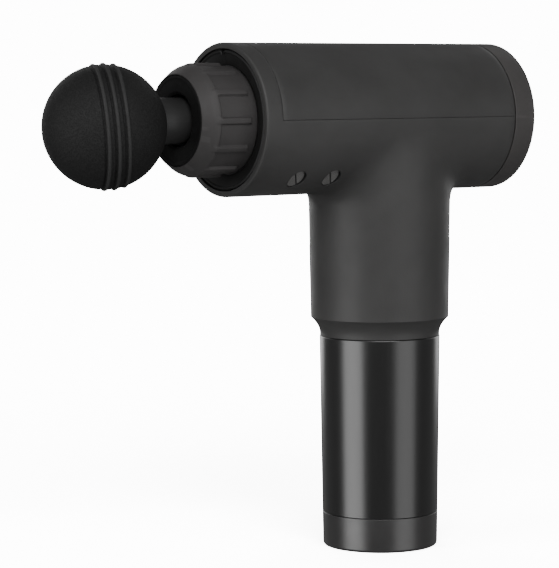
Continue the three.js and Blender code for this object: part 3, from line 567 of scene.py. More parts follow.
moulded("soft_touch_shell", (0.055, 0.0543, 0.0537), 0.48, **SOFT_TOUCH)
moulded("rear_shell", (0.064, 0.060, 0.059), 0.48, 0.00009)
moulded("foot_plastic", (0.028, 0.027, 0.027), 0.36, **POLISHED)
moulded("collar_plastic", (0.061, 0.058, 0.058), 0.58, 0.00007, Specular_IOR_Level=0.35)
moulded("dark_plastic", (0.012, 0.012, 0.012), 0.5)
moulded("button_plastic", (0.018, 0.018, 0.018), 0.42)
moulded("stem_plastic", (0.028, 0.028, 0.028), 0.46, 0.00002)
gloss("gloss_black", (0.006, 0.006, 0.006), 0.3)
foam_rubber("foam", (0.0125, 0.0125, 0.0125))
soft_rubber("rubber", (0.009, 0.009, 0.009))
metal("steel", (0.56, 0.56, 0.58), 0.28)
metal("aluminium", (0.66, 0.67, 0.69), 0.36, brushed=(30, 1, 1))
enamelled_wire("copper", (0.72, 0.30, 0.12))
metal("brass", (0.78, 0.58, 0.26), 0.25)
circuit_board("circuit_board", (0.012, 0.07, 0.03))
shrink_wrap("cell_wrap", (0.03, 0.17, 0.27))
marking_ink("pale_marks", (0.42, 0.43, 0.44))
dust_screen("dust_screen", (0.17, 0.167, 0.164))


def dress(piece, body, slot, replaces=(), material=None, sharp=40):
    """Gives a piece its material and its body, and hides the CAD nodes that it stands for.

    It is shaded smooth, except along edges sharper than that angle in degrees.
    """
    piece.data.shade_smooth()
    piece.data.set_sharp_from_angle(angle=radians(sharp))
    piece.data.materials.clear()
    piece.data.materials.append(MATERIALS[material or slot])
    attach(piece, body)
    if replaces:
        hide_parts(*replaces)
    return piece


def dress_frame():
    """Gives every CAD node the procedural material of its slot."""
    for row in frame["record"]["subparts"]:
        node = frame["nodes"][row["node"]]
        node.data.materials.clear()
        node.data.materials.append(MATERIALS[row["material_slot"]])


def barrel_piece(
    name, profile, slot, replaces=(), body="housing", segments=160, sharp=40, **turning
):
    """A piece turned about the barrel's axis, and dressed."""
    piece = lathe(name, profile, "X", BARREL_CENTRE, segments, **turning)
    return dress(piece, body, slot, replaces, sharp=sharp)


# ---- Housing: the barrel's lower half and the grip in one moulding ----

SIDE_STEPS = 56  # mesh steps along each side of the square patch round the grip
AROUND = 4 * SIDE_STEPS
SEAM_ANGLE = pi / 2 - SEAM / 2 / BARREL_RADIUS


def grip_radius(z):
    """The grip's outline: a slight taper, then a concave sweep in to the battery's diameter."""
    taper = np.interp(z, [GRIP_LOW, GRIP_TOP], [GRIP_LOW_RADIUS, GRIP_TOP_RADIUS])
    share = np.clip((z - NECK_TOP) / (GRIP_LOW - NECK_TOP), 0, 1)
    sweep = NECK_RADIUS + (GRIP_LOW_RADIUS - NECK_RADIUS) * share**2
    return np.where(z > GRIP_LOW, taper, sweep)


def housing_distance(points):
    """Signed distance to the barrel and the grip, melted together along their junction."""
    x, y, z = points.T
    rise = z - AXIS_Z
    barrel = np.hypot(y, rise) - BARREL_RADIUS
    grip = np.hypot(x, y) - grip_radius(z)
    turned = y**2 / (np.hypot(y, rise) * np.hypot(x, y))
    side = smoothstep(0.2, 0.8, np.abs(y) / BARREL_RADIUS)
    fillet = JUNCTION_FILLET + (SADDLE_FILLET - JUNCTION_FILLET) * side
    fillet = fillet * np.clip(1 - turned, 0, 1) ** 0.6 + 1e-6
    overlap = np.clip(fillet - np.abs(barrel - grip), 0, None)
    return np.minimum(barrel, grip) - overlap**2 / (4 * fillet)


def settle(points, fixed, rounds=10):
    """Moves points on to the housing's surface along its gradient."""
    step = 1e-5
    for _ in range(rounds):
        away = housing_distance(points)
        slopes = [
            (housing_distance(points + shift) - housing_distance(points - shift)) / (2 * step)
            for shift in np.eye(3) * step
        ]
        slope = np.stack(slopes, axis=-1)
        move = 0.9 * away[:, None] * slope / np.sum(slope**2, axis=1, keepdims=True)
        points = points - np.where(fixed[:, None], 0, move)
    return points


def on_barrel(x, angle, radius=BARREL_RADIUS):
    """Points on the barrel. The angle is measured from straight down towards +Y."""
    y, z = radius * np.sin(angle), AXIS_Z - radius * np.cos(angle)
    return np.stack([x + 0 * angle, y + 0 * x, z + 0 * x], axis=-1)


def round_grip(z, turn):
    """Points round the grip at a height."""
    radius = grip_radius(np.asarray(z))
    return np.stack([radius * np.cos(turn), radius * np.sin(turn), z + 0 * turn], axis=-1)


def junction_loops():
    """Loops of points from the square patch on the barrel in to the grip and down its blend."""
    to_and_fro = 2 * np.arange(SIDE_STEPS) / SIDE_STEPS - 1
    one = np.ones(SIDE_STEPS)
    rim_x = np.concatenate([one, -to_and_fro, -one, to_and_fro]) * REAR_SEAM
    rim_angle = np.concatenate([to_and_fro, one, -to_and_fro, -one]) * SEAM_ANGLE
    turn = np.arange(AROUND) * 2 * pi / AROUND - pi / 4
    inner = GRIP_TOP_RADIUS * 0.995
    crease_x = inner * np.cos(turn)
    crease_angle = np.arcsin(inner * np.sin(turn) / BARREL_RADIUS)
    loops = []
    for t in np.linspace(0, 1, 15) ** 0.85:
        x = rim_x + (crease_x - rim_x) * t
        loops.append(on_barrel(x, rim_angle + (crease_angle - rim_angle) * t))
    crease_z = loops[-1][:, 2]
    for t in np.linspace(0, 1, 21)[1:] ** 1.15:
        loops.append(round_grip(crease_z + (BLEND_FLOOR - crease_z) * t, turn))
    fixed = np.zeros((len(loops), AROUND), bool)
    fixed[0] = True
    settled = settle(np.concatenate(loops), fixed.ravel())
    return list(settled.reshape(len(loops), AROUND, 3)), turn


def rim_profile(steps=7):
    """The front rim, from the cover's seam round its edge to the bezel's bore."""
    flank = np.linspace(COVER_FRONT, BARREL_FRONT + RIM_ROUNDING, 8)[1:]
    points = [(BARREL_RADIUS, x) for x in flank]
    for turn in np.linspace(0, pi / 2, steps + 1)[1:]:
        radius = BARREL_RADIUS - RIM_ROUNDING * (1 - cos(turn))
        points.append((radius, BARREL_FRONT + RIM_ROUNDING * (1 - sin(turn))))
    points.append((BARREL_BORE + EDGE, BARREL_FRONT))
    return points


def add_row(vertices, faces, before, points, closed):
    """Adds a row of points with quads back to the row before it, and returns its numbers."""
    row = list(range(len(vertices), len(vertices) + len(points)))
    vertices += list(points)
    for k in range(len(row) if closed else len(row) - 1):
        after = (k + 1) % len(row)
        faces.append((before[k], before[after], row[after], row[k]))
    return row


def housing_skin():
    """The points and faces of the lower housing's outer skin."""
    loops, turn = junction_loops()
    stretches = ((BLEND_FLOOR, GRIP_LOW, 15), (GRIP_LOW, NECK_TOP, 13), (NECK_TOP, GRIP_BOTTOM, 3))
    for top, bottom, steps in stretches:
        loops += [round_grip(z, turn) for z in np.linspace(top, bottom, steps + 1)[1:]]
    vertices = [point for loop in loops for point in loop]
    faces = grid_faces(len(loops), AROUND)
    # The front side of the square runs from corner 2 to corner 3, from +Y to -Y.
    last = list(range(2 * SIDE_STEPS, 3 * SIDE_STEPS + 1))
    angles = np.linspace(SEAM_ANGLE, -SEAM_ANGLE, SIDE_STEPS + 1)
    for x in np.linspace(-REAR_SEAM, COVER_FRONT - SEAM, 14)[1:]:
        last = add_row(vertices, faces, last, on_barrel(x, angles), closed=False)
    # From there the front ring goes all the way round.
    over = np.linspace(-SEAM_ANGLE, SEAM_ANGLE - 2 * pi, SIDE_STEPS + 1)[1:-1]
    last = last + list(range(len(vertices), len(vertices) + len(over)))
    vertices += list(on_barrel(COVER_FRONT - SEAM, over))
    angles = np.concatenate([angles, over])
    for radius, x in rim_profile():
        last = add_row(vertices, faces, last, on_barrel(x, angles, radius), closed=True)
    return vertices, faces


# Each vent solid's levels, in millimetres: a margin round the outline, and a depth under the skin.
VENT_HOLE = ((0, 5.2), (0, 0.35), (0.1, 0.1), (0.4, -0.8))
VENT_SHADE_CUP = ((-0.03, 1.6), (-0.03, 0.12), (-0.14, 0.12), (-0.14, 0.95))
VENT_PAD = ((-0.3, 0.9), (-0.3, 0.7), (-0.4, 0.6))


def oval(margin, turn):
    """Points on the vent's oval with a margin round it, (along the barrel, round it)."""
    along, up = VENT_HALF_LENGTH + margin, VENT_HALF_HEIGHT + margin
    return np.stack([along * np.cos(turn), up * np.sin(turn)], axis=-1)


def vent_outline(margin, steps=40):
    """Points round the whole oval."""
    return oval(margin, np.linspace(0, 2 * pi, steps + 1)[:-1])


def half_vent_outline(side, slant, margin, steps=20):
    """Points round the half of the oval on one side of a slanting line."""
    across = (VENT_HALF_LENGTH + margin) * cos(slant)
    up = (VENT_HALF_HEIGHT + margin) * sin(slant)
    reach = acos(-margin / hypot(across, up))
    middle = atan2(up, across) + (0 if side > 0 else pi)
    turn = middle + np.linspace(-reach, reach, steps + 1)
    return oval(margin, turn) + [PAD_SHIFT[0], copysign(PAD_SHIFT[1], slant)]


def vent_solid(name, place, levels, outline, sloped=True):
    """A solid in the barrel's wall. A sloped one is deeper towards the vent's top and rear."""
    x, round_angle = place
    rows = []
    for margin, depth in levels:
        along, up = outline(margin * MM).T
        slope = VENT_LEAN * np.sign(round_angle) * up + VENT_SWEEP * along
        radius = BARREL_RADIUS - depth * MM * (1 + sloped * slope / VENT_DEPTH)
        rows.append(on_barrel(x + along, round_angle + up / BARREL_RADIUS, radius))
    return new_object(name, np.concatenate(rows), stack_faces(len(rows), len(rows[0])))


def vent_places():
    """The four vents: how far along the barrel, and the angle round it from straight down."""
    return [(x, sign * VENT_ANGLE) for x in VENT_CENTRES for sign in (-1, 1)]


def make_housing():
    """The lower housing, one hollow moulding with a vent opening in four places."""
    vertices, faces = housing_skin()
    housing = new_object("housing_shell", vertices, faces)
    weights = housing.vertex_groups.new(name="wall")
    for vertex in housing.data.vertices:
        radius = hypot(vertex.co.y, vertex.co.z - AXIS_Z)
        near_rim = vertex.co.x < BARREL_FRONT + 2 * RIM_ROUNDING and radius > BARREL_BORE
        weights.add([vertex.index], 0.55 if near_rim else 1.0, "REPLACE")
    thicken(housing, "wall")
    holes = []
    for i, place in enumerate(vent_places()):
        holes.append(vent_solid(f"hole_{i}", place, VENT_HOLE, vent_outline, sloped=False))
    cut(housing, holes, overlapping=True)
    dress(housing, "housing", "soft_touch_shell", ["main_housing"], sharp=32)


def make_vent_screens():
    """A cup of dark plastic in each vent, whose dark colour is painted shade in the gaps round and
    between the pads, and two paler pads of dust screen on its floor.
    """
    shade_cups, pads = [], []
    for i, place in enumerate(vent_places()):
        shade_cups.append(vent_solid(f"cup_{i}", place, VENT_SHADE_CUP, vent_outline))
        slant = copysign(VENT_SLANT, place[1])
        for side in (-1, 1):
            outline = partial(half_vent_outline, side, slant)
            pads.append(vent_solid(f"pad_{i}_{side}", place, VENT_PAD, outline))
    # The cups' dark plastic is painted shade where the pads leave gaps, on top of the real shade of
    # those recessed gaps.
    dress(joined("vent_shade_cups", shade_cups), "housing", "button_plastic", sharp=30)
    screens = joined("vent_screens", pads)
    dress(screens, "housing", "collar_plastic", material="dust_screen", sharp=30)


def make_cover():
    """The upper half shell of the barrel."""
    along, around = 48, 72
    start = SEAM_ANGLE + SEAM / BARREL_RADIUS
    angles = np.linspace(start, 2 * pi - start, around + 1)
    rows = [on_barrel(x, angles) for x in np.linspace(COVER_FRONT + SEAM, REAR_SEAM, along + 1)]
    faces = grid_faces(along + 1, around + 1, wrap_columns=False)
    cover = new_object("cover_shell", np.concatenate(rows), faces)
    if cover.data.polygons[len(faces) // 2].normal.z < 0:
        cover.data.flip_normals()
    thicken(cover)
    dress(cover, "housing", "soft_touch_shell", ["top_cover"])


# ---- Rear panel ----


def make_rear():
    """The rear cap with its gasket, its glass-like lens with level lights, and the push button."""
    cap_front = REAR_SEAM + REAR_GROOVE
    profile = [
        (BARREL_BORE, cap_front),
        (BARREL_RADIUS, cap_front, 0.3 * MM),
        (BARREL_RADIUS, BARREL_REAR, 0.6 * MM),
        (LENS_RADIUS + 1.6 * MM, BARREL_REAR, 0.3 * MM),
        (LENS_RADIUS + 0.3 * MM, BARREL_REAR - 0.9 * MM, 0.15 * MM),
        (LENS_RADIUS + 0.3 * MM, LENS_LOW.x - 0.3 * MM),
        (LENS_RADIUS - 1.6 * MM, LENS_LOW.x - 0.3 * MM),
        (LENS_RADIUS - 1.6 * MM, LENS_LOW.x - 1.7 * MM),
        (BARREL_BORE, LENS_LOW.x - 1.7 * MM),
    ]
    cap = barrel_piece("rear_cap_shell", profile, "rear_shell", ["rear_cap"], segments=192)
    weighted_normals(cap)

    outer, inner = BARREL_RADIUS - 0.9 * MM, BARREL_BORE + 0.2 * MM
    front, back = REAR_SEAM + 0.02 * MM, cap_front - 0.02 * MM
    profile = [(inner, front, 0), (outer, front, 0), (outer, back, 0), (inner, back, 0)]
    barrel_piece("rear_gasket", profile, "rubber", segments=128)

    profile = [
        (BUTTON_HOLE, LENS_LOW.x),
        (LENS_RADIUS, LENS_LOW.x),
        (LENS_RADIUS, BARREL_REAR - 0.9 * MM, 0.3 * MM),
        ((BUTTON_HOLE + LENS_RADIUS) / 2, BARREL_REAR - 0.45 * MM, 4 * MM),
        (BUTTON_HOLE, BARREL_REAR - 0.3 * MM, 0.3 * MM),
    ]
    barrel_piece("lens_disc", profile, "gloss_black", ["display_lens"])
    make_button()
    make_level_lights()


def make_button():
    """The dished push button, with its flange under the lens and its pin."""
    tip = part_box("speed_button")[0].x
    face, flange, pin = BARREL_REAR - 0.2 * MM, 9.2 * MM, 2.5 * MM
    profile = [
        (0, tip),
        (pin, tip),
        (pin, tip + 0.7 * MM),
        (flange, tip + 0.7 * MM),
        (flange, tip + 1.7 * MM),
        (BUTTON_RADIUS, tip + 1.7 * MM),
        (BUTTON_RADIUS, face, 0.7 * MM),
        (5 * MM, face - 0.45 * MM, 2 * MM),
        (0, face - 0.6 * MM),
    ]
    barrel_piece("button_cap", profile, "button_plastic", ["speed_button"], "speed_button", 96)


def make_level_lights():
    """A ring of small light windows set flush in the lens."""
    lights = []
    outline = rounded_rectangle(0.6 * MM, 1.6 * MM, 0.5 * MM)
    stand = Matrix.Rotation(pi / 2, 4, "Y")
    out = Matrix.Translation((0, 0, (LENS_RADIUS + BUTTON_HOLE) / 2 + 2 * MM))
    centre = Matrix.Translation((BARREL_REAR - 0.75 * MM, 0, AXIS_Z))
    for k in range(LIGHT_COUNT):
        light = rounded_plate(f"light_{k}", outline, 0, 0.25 * MM, 0.05 * MM)
        turn = Matrix.Rotation(2 * pi * k / LIGHT_COUNT, 4, "X")
        light.data.transform(centre @ turn @ out @ stand)
        lights.append(light)
    ring = joined("level_lights", lights)
    dress(ring, "housing", "gloss_black", material="pale_marks", sharp=30)


# ---- Nose ----


def make_bezel():
    """The dished ring inside the front rim, with a small notch in its lip at the top."""
    low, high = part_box("front_bezel")
    outer, front, back = BARREL_BORE - 0.3 * MM, low.x, high.x

    def notched(radius, height, angle):
        at_top = np.abs(np.angle(np.exp(1j * (angle - pi / 2)))) * outer < 0.9 * MM
        lip = (radius > outer - 1.8 * MM) & (height < back - 1.2 * MM)
        return np.where(at_top & lip, np.minimum(radius, outer - 1.9 * MM), radius)

    profile = [
        (BEZEL_BORE, back),
        (outer, back),
        (outer, front + 0.35 * MM, 0.3 * MM),
        (outer - 0.9 * MM, front, 0.3 * MM),
        (outer - 1.5 * MM, front + 0.5 * MM, 0.2 * MM),
        (BEZEL_BORE, back - 0.5 * MM, 0.2 * MM),
    ]
    turning = {"segments": 240, "shape": notched}
    barrel_piece("bezel_dish", profile, "dark_plastic", ["front_bezel"], **turning)


def ribbed(radius, height, angle):
    """Raises the ribs on the collar's flank and sinks the pads between them."""
    face = NOSE_LOW.x
    pad_front, rib_front, rib_rear = face + 7.1 * MM, face + 4.9 * MM, face + 21.4 * MM
    sector = 2 * pi / RIB_COUNT
    off_rib = np.abs((angle + sector / 2) % sector - sector / 2) * SHOULDER_RADIUS
    rib = 1 - smoothstep(RIB_HALF_WIDTH - 0.45 * MM, RIB_HALF_WIDTH + 0.35 * MM, off_rib)
    on_rib = smoothstep(rib_front - 0.8 * MM, rib_front + 0.9 * MM, height)
    on_rib = on_rib * (1 - smoothstep(rib_rear - 1.1 * MM, rib_rear, height))
    pad = smoothstep(pad_front - 0.5 * MM, pad_front + 0.2 * MM, height)
    crown = RIB_HEIGHT * (1 - 0.25 * (off_rib / RIB_HALF_WIDTH) ** 2)
    raised = rib * on_rib * (crown + PAD_DEPTH * pad) - PAD_DEPTH * pad
    return np.where(radius > SHOULDER_RADIUS - 1.2 * MM, radius + raised, radius)


def make_collar():
    """The collar: a sloping shoulder that runs into a flank with twelve ribs."""
    face = NOSE_LOW.x
    recess = face + 2.4 * MM
    shoulder = [
        (COLLAR_FACE_RADIUS + 0.1 * MM, face, 0),
        (COLLAR_FACE_RADIUS + 0.4 * MM, face, 0.3 * MM),
        (SHOULDER_RADIUS, face + 5.2 * MM, 9 * MM),
        (SHOULDER_RADIUS, face + 11.5 * MM, 0),
    ]
    curve = round_corners(shoulder, 0, closed=False, steps=14)[:-1]
    flank = np.linspace(face + 8.4 * MM, NOSE_HIGH.x - 0.3 * MM, 52)
    profile = [
        *[(*point, 0) for point in curve],
        *[(SHOULDER_RADIUS, height, 0) for height in flank],
        (SHOULDER_RADIUS - 1.3 * MM, NOSE_HIGH.x),
        (COLLAR_BORE, NOSE_HIGH.x),
        (COLLAR_BORE, recess + 2.4 * MM),
        (COLLAR_SEAT, recess + 1.2 * MM),
        (COLLAR_SEAT, recess),
        (COLLAR_FACE_RADIUS, recess),
        (COLLAR_FACE_RADIUS, face, 0.1 * MM),
    ]
    turning = {"segments": 36 * RIB_COUNT, "sharp": 45, "shape": ribbed}
    barrel_piece("ribbed_collar", profile, "collar_plastic", ["nose_collar"], **turning)


def make_nose_ring():
    """The dark ring in the collar's face, round the stem."""
    low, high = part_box("nose_ring")
    outer = (high.y - low.y) / 2
    profile = [
        (NOSE_RING_BORE, high.x),
        (outer, high.x),
        (outer, low.x, 0.2 * MM),
        (outer - 1 * MM, low.x + 0.05 * MM, 0.2 * MM),
        (outer - 1.6 * MM, low.x + 0.35 * MM, 0.3 * MM),
        (NOSE_RING_BORE + 1.2 * MM, low.x + 0.35 * MM, 0.4 * MM),
        (NOSE_RING_BORE, low.x + 1.1 * MM, 0.4 * MM),
    ]
    barrel_piece("nose_face_ring", profile, "rubber", ["nose_ring"])


# ---- Massage head ----


def ring_lift(along):
    """How far the ball's skin stands above its sphere: three rings, each behind a thin groove."""
    lift = 0.0
    for ring in (-1, 0, 1):
        off = along - RING_SHIFT - ring * RING_PITCH
        crest = min(1.0, abs(off) / RING_HALF_WIDTH)
        groove = min(1.0, abs(off + GROOVE_OFFSET) / GROOVE_HALF_WIDTH)
        lift += RING_HEIGHT * cos(pi / 2 * crest)
        lift -= GROOVE_DEPTH * cos(pi / 2 * groove) ** 2
    return lift


def ball_profile():
    """A half circle, with fine steps across the band of rings."""
    quarter, band_start, band_end = pi / 2, radians(-17), radians(19)
    front = np.linspace(-quarter, band_start, 42)[1:-1]
    band = np.linspace(band_start, band_end, 130)
    rear = np.linspace(band_end, quarter, 42)[1:-1]
    points = []
    for angle in (*front, *band, *rear):
        radius = BALL_RADIUS + ring_lift(BALL_RADIUS * sin(angle))
        points.append((radius * cos(angle), radius * sin(angle)))
    return [(0, -BALL_RADIUS), *points, (0, BALL_RADIUS)]


def make_ball():
    """The foam ball, its rings slanted, with the bore for the stem."""
    ball = lathe("foam_ball", ball_profile(), "X", segments=200, rounding=0)
    centre = Vector((BALL_LOW.x + BALL_RADIUS, 0, (BALL_LOW.z + BALL_HIGH.z) / 2))
    ball.data.transform(Matrix.Rotation(-BALL_TURN, 4, "Z") @ Matrix.Rotation(-BALL_TILT, 4, "Y"))
    ball.location = centre
    bore_radius = STEM_RADIUS + 0.15 * MM
    profile = [
        (0, STEM_LOW.x - 0.3 * MM),
        (bore_radius, STEM_LOW.x - 0.3 * MM),
        (bore_radius, centre.x + 21.2 * MM),
        (STEM_RADIUS + 2.2 * MM, centre.x + 24 * MM),
        (0, centre.x + 24 * MM),
    ]
    cut(ball, [lathe("bore", profile, "X", BARREL_CENTRE, 96, rounding=0)])
    dress(ball, "massage_head", "foam", ["massage_ball"])


def make_stem():
    """The stem, hollow at its inner end, with a sealing ring in a groove."""
    groove = upright_place("stem_o_ring").x
    profile = [
        (0, STEM_LOW.x),
        (STEM_RADIUS, STEM_LOW.x),
        (STEM_RADIUS, groove - 1 * MM),
        (STEM_RADIUS - 1 * MM, groove - 1 * MM),
        (STEM_RADIUS - 1 * MM, groove + 1 * MM),
        (STEM_RADIUS, groove + 1 * MM),
        (STEM_RADIUS, STEM_HIGH.x, 1.2 * MM),
        (STEM_RADIUS - 3 * MM, STEM_HIGH.x),
        (STEM_RADIUS - 3 * MM, STEM_HIGH.x - 6 * MM),
        (0, STEM_HIGH.x - 6 * MM),
    ]
    barrel_piece("stem_shaft", profile, "stem_plastic", ["head_stem"], "massage_head", 128)
    ring_radius, thickness = STEM_RADIUS - 0.34 * MM, 0.46 * MM
    profile = []
    for turn in np.arange(16) * 2 * pi / 16:
        profile.append((ring_radius + thickness * cos(turn), groove + 1.7 * thickness * sin(turn)))
    turning = {"segments": 96, "sharp": 60, "rounding": 0}
    barrel_piece("stem_seal", profile, "rubber", ["stem_o_ring"], "massage_head", **turning)


# ---- Battery handle ----


def make_tube():
    """The gloss tube, which tapers slightly towards the foot."""
    top_radius = (TUBE_HIGH.x - TUBE_LOW.x) / 2
    low, high = FOOT_SEAM - 0.1 * MM, TUBE_HIGH.z + 0.15 * MM
    profile = [
        (FOOT_SEAM_RADIUS - TUBE_WALL, low),
        (FOOT_SEAM_RADIUS, low, 0.2 * MM),
        (top_radius, high, 0.45 * MM),
        (top_radius - TUBE_WALL, high),
    ]
    tube = lathe("handle_tube", profile, segments=192)
    dress(weighted_normals(tube), "battery", "gloss_black", ["battery_tube"])


def make_foot():
    """The foot cap, with its spigot up inside the tube and its openings underneath."""
    spigot = FOOT_SEAM_RADIUS - TUBE_WALL - 0.3 * MM
    seam = FOOT_SEAM - 0.28 * MM
    profile = [
        (0, 0),
        (FOOT_SEAM_RADIUS - 0.23 * MM, 0, 1.1 * MM),
        (FOOT_SEAM_RADIUS, seam, 0.2 * MM),
        (spigot, seam),
        (spigot, CAP_HIGH.z),
        (spigot - 1.6 * MM, CAP_HIGH.z),
        (spigot - 1.6 * MM, FOOT_FLOOR),
        (0, FOOT_FLOOR),
    ]
    cap = lathe("foot_cap", profile, segments=192)
    cut(cap, foot_openings())
    dress(weighted_normals(cap), "battery", "foot_plastic", ["battery_cap"])


def foot_openings():
    """Cutters for the foot's switch window, jack hole and counterbored screw holes."""
    half = (SWITCH_HIGH - SWITCH_LOW) / 2
    outline = rounded_rectangle(half.x + 0.3 * MM, half.y + 0.3 * MM, 0.8 * MM)
    window = rounded_plate("window", outline, -1 * MM, FOOT_FLOOR + 1 * MM, 0.05 * MM)
    window.data.transform(Matrix.Translation(upright_place("switch_frame")))
    tools = [window]
    # Each hole's node, its bore, and the width and depth of its mouth.
    holes = [
        ("charge_jack", 4.2 * MM, 4.7 * MM, 0.02 * MM),
        ("cap_screw_1", 1.4 * MM, 2.7 * MM, 1.6 * MM),
        ("cap_screw_2", 1.4 * MM, 2.7 * MM, 1.6 * MM),
    ]
    below, above = -1 * MM, FOOT_FLOOR + 1 * MM
    for node, bore, mouth, depth in holes:
        ledge = [(mouth, depth), (bore, max(depth, 0.4 * MM))]
        profile = [(0, below), (mouth, below), *ledge, (bore, above), (0, above)]
        tools.append(lathe(f"{node}_hole", profile, "Z", upright_place(node), 48, rounding=0))
    return tools


def make_plug():
    """The battery's upper part, inside the grip, with three ribs and two contact wells."""
    bore, roof, shoulder = PLUG_RADIUS - 1.6 * MM, PLUG_HIGH.z - PLUG_ROOF, TUBE_HIGH.z - 0.1 * MM
    ribs = []
    for k in range(3):
        for rise, along in ((0, -0.5), (0.3, -0.2), (0.3, 0.2), (0, 0.5)):
            ribs.append((PLUG_RADIUS + rise * MM, TUBE_HIGH.z + (3 + 2.4 * k + along) * MM))
    profile = [
        (0, roof),
        (bore, roof),
        (bore, PLUG_LOW.z),
        (PLUG_SPIGOT, PLUG_LOW.z),
        (PLUG_SPIGOT, shoulder),
        (PLUG_RADIUS, shoulder),
        *ribs,
        (PLUG_RADIUS, PLUG_HIGH.z, 1.2 * MM),
        (0, PLUG_HIGH.z),
    ]
    plug = lathe("battery_plug_shell", profile)
    well = [(0, -4 * MM), (2.8 * MM, -4 * MM), (2.8 * MM, 2 * MM), (0, 2 * MM)]
    wells = []
    for i in (1, 2):
        place = upright_place(f"battery_contact_{i}", PLUG_HIGH.z)
        wells.append(lathe(f"well_{i}", well, "Z", place, 40, rounding=0))
    cut(plug, wells)
    dress(weighted_normals(plug), "battery", "dark_plastic", ["battery_plug"])


def make_contact(node, name):
    """A brass stud in its well on top of the plug."""
    low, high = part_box(node)
    radius = (high.x - low.x) / 2
    profile = [(0, low.z), (radius, low.z), (radius, high.z, 0.5 * MM), (0, high.z)]
    stud = lathe(name, profile, "Z", upright_place(node), 40)
    dress(stud, "battery", "brass", [node])


def make_switch_frame():
    """The rocker's rectangular surround, open underneath."""
    half = (SWITCH_HIGH - SWITCH_LOW) / 2
    low, high = SWITCH_LOW.z, SWITCH_HIGH.z
    outer = rounded_rectangle(half.x, half.y, 0.7 * MM)
    surround = rounded_plate("switch_surround", outer, low, high, 0.2 * MM)
    opening = rounded_rectangle(half.x - 1.2 * MM, half.y - 1.2 * MM, 0.4 * MM)
    cut(surround, [rounded_plate("hollow", opening, low - 1 * MM, high - 1.5 * MM, 0.05 * MM)])
    surround.data.transform(Matrix.Translation(upright_place("switch_frame")))
    dress(surround, "battery", "dark_plastic", ["switch_frame"], sharp=30)


def make_rocker():
    """The rocker, lying in its off position, with one pip on its pressed end."""
    low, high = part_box("power_switch")
    half_y, reach = (high.y - low.y) / 2, ROCKER_HALF_LENGTH
    side = [
        (-reach, -2.9 * MM, 0.4 * MM),
        (0, -2.35 * MM, 3 * MM),
        (reach, -2.9 * MM, 0.4 * MM),
        (reach - 1.2 * MM, 1 * MM, 0.5 * MM),
        (0, 2.4 * MM, 2 * MM),
        (1.2 * MM - reach, 1 * MM, 0.5 * MM),
    ]
    outline = round_corners(side, EDGE, closed=True, steps=5)
    rocker = rounded_plate("rocker", outline, -half_y, half_y, 0.25 * MM)
    pivot = upright_place("switch_frame", ROCKER_PIVOT)
    place = Matrix.Translation(pivot) @ Matrix.Rotation(ROCKER_REST, 4, "Y")
    rocker.data.transform(place @ Matrix.Rotation(pi / 2, 4, "X"))
    dress(rocker, "power_switch", "gloss_black", ["power_switch"], sharp=35)
    profile = [(0, -0.12 * MM), (0.8 * MM, -0.12 * MM), (0.8 * MM, 0.3 * MM), (0, 0.3 * MM)]
    pip = lathe("rocker_pip", profile, "Z", (3.4 * MM, 0, -2.62 * MM), 32, rounding=0.05 * MM)
    pip.data.transform(place)
    dress(pip, "power_switch", "gloss_black", material="pale_marks")


def make_jack():
    """The charging jack: a metal sleeve round a centre pin."""
    low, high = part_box("charge_jack")
    radius, bore, pin = (high.x - low.x) / 2, 2.75 * MM, 0.95 * MM
    profile = [
        (0, high.z),
        (radius, high.z),
        (radius, low.z, 0.2 * MM),
        (bore, low.z, 0.3 * MM),
        (bore, high.z - 1.7 * MM),
        (pin, high.z - 1.7 * MM),
        (pin, low.z + 1.6 * MM, 0.4 * MM),
        (0, low.z + 1.6 * MM),
    ]
    jack = lathe("jack_socket", profile, "Z", upright_place("charge_jack"), 64)
    dress(jack, "battery", "steel", ["charge_jack"])


def make_cross_screw(node, name):
    """A pan-head screw with a cross recess, its head down in the foot."""
    low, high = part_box(node)
    head, shank, under_head = (high.x - low.x) / 2, 1.1 * MM, low.z + 1.2 * MM
    profile = [
        (0, low.z),
        (head, low.z, 0.5 * MM),
        (head, under_head),
        (shank, under_head),
        (shank, high.z),
        (0, high.z),
    ]
    screw = lathe(name, profile, "Z", upright_place(node), 48)
    long_side, short_side = 1.4 * MM, 0.3 * MM
    for half_x, half_y in ((long_side, short_side), (short_side, long_side)):
        outline = rounded_rectangle(half_x, half_y, 0.15 * MM)
        slot = rounded_plate("slot", outline, -1 * MM, 0.7 * MM, 0.05 * MM)
        slot.data.transform(Matrix.Translation(upright_place(node, low.z)))
        cut(screw, [slot])
    dress(screw, "battery", "steel", [node], sharp=35)


# ---- Camera, floor and light ----

VIEW_AZIMUTH = radians(-36.21)
VIEW_ELEVATION = radians(4.81)
VIEW_ROLL = radians(-0.343)
VIEW_DISTANCE = 0.972
VIEW_TARGET = Vector((-0.05175, 0, 0.11205))
VIEW_LENS = 152.1
LIGHT_TARGET = Vector((-0.03, 0, 0.11))

# Each softbox: azimuth from the camera's own and elevation, in degrees, distance, width and height
# in metres, and radiance.
SOFTBOXES = {
    "left_strip": (-56, -3, 1.1, 0.82, 1.3, 2.4),
    "right_strip": (50, -3, 1.1, 0.8, 1.3, 0.95),
    "front_fill": (8, 35, 1.2, 1.0, 0.6, 3.9),
    "back_left": (-158, 14, 1.3, 0.9, 1.1, 1.4),
    "back_right": (145, 14, 1.3, 0.7, 1.1, 1.1),
}
BACKDROP_STRENGTH = 14.0
ROOM_STRENGTH = 0.12


def direction(azimuth, elevation):
    """The unit vector from the object towards a viewer at that azimuth and elevation."""
    flat = cos(elevation)
    return Vector((sin(azimuth) * flat, -cos(azimuth) * flat, sin(elevation)))


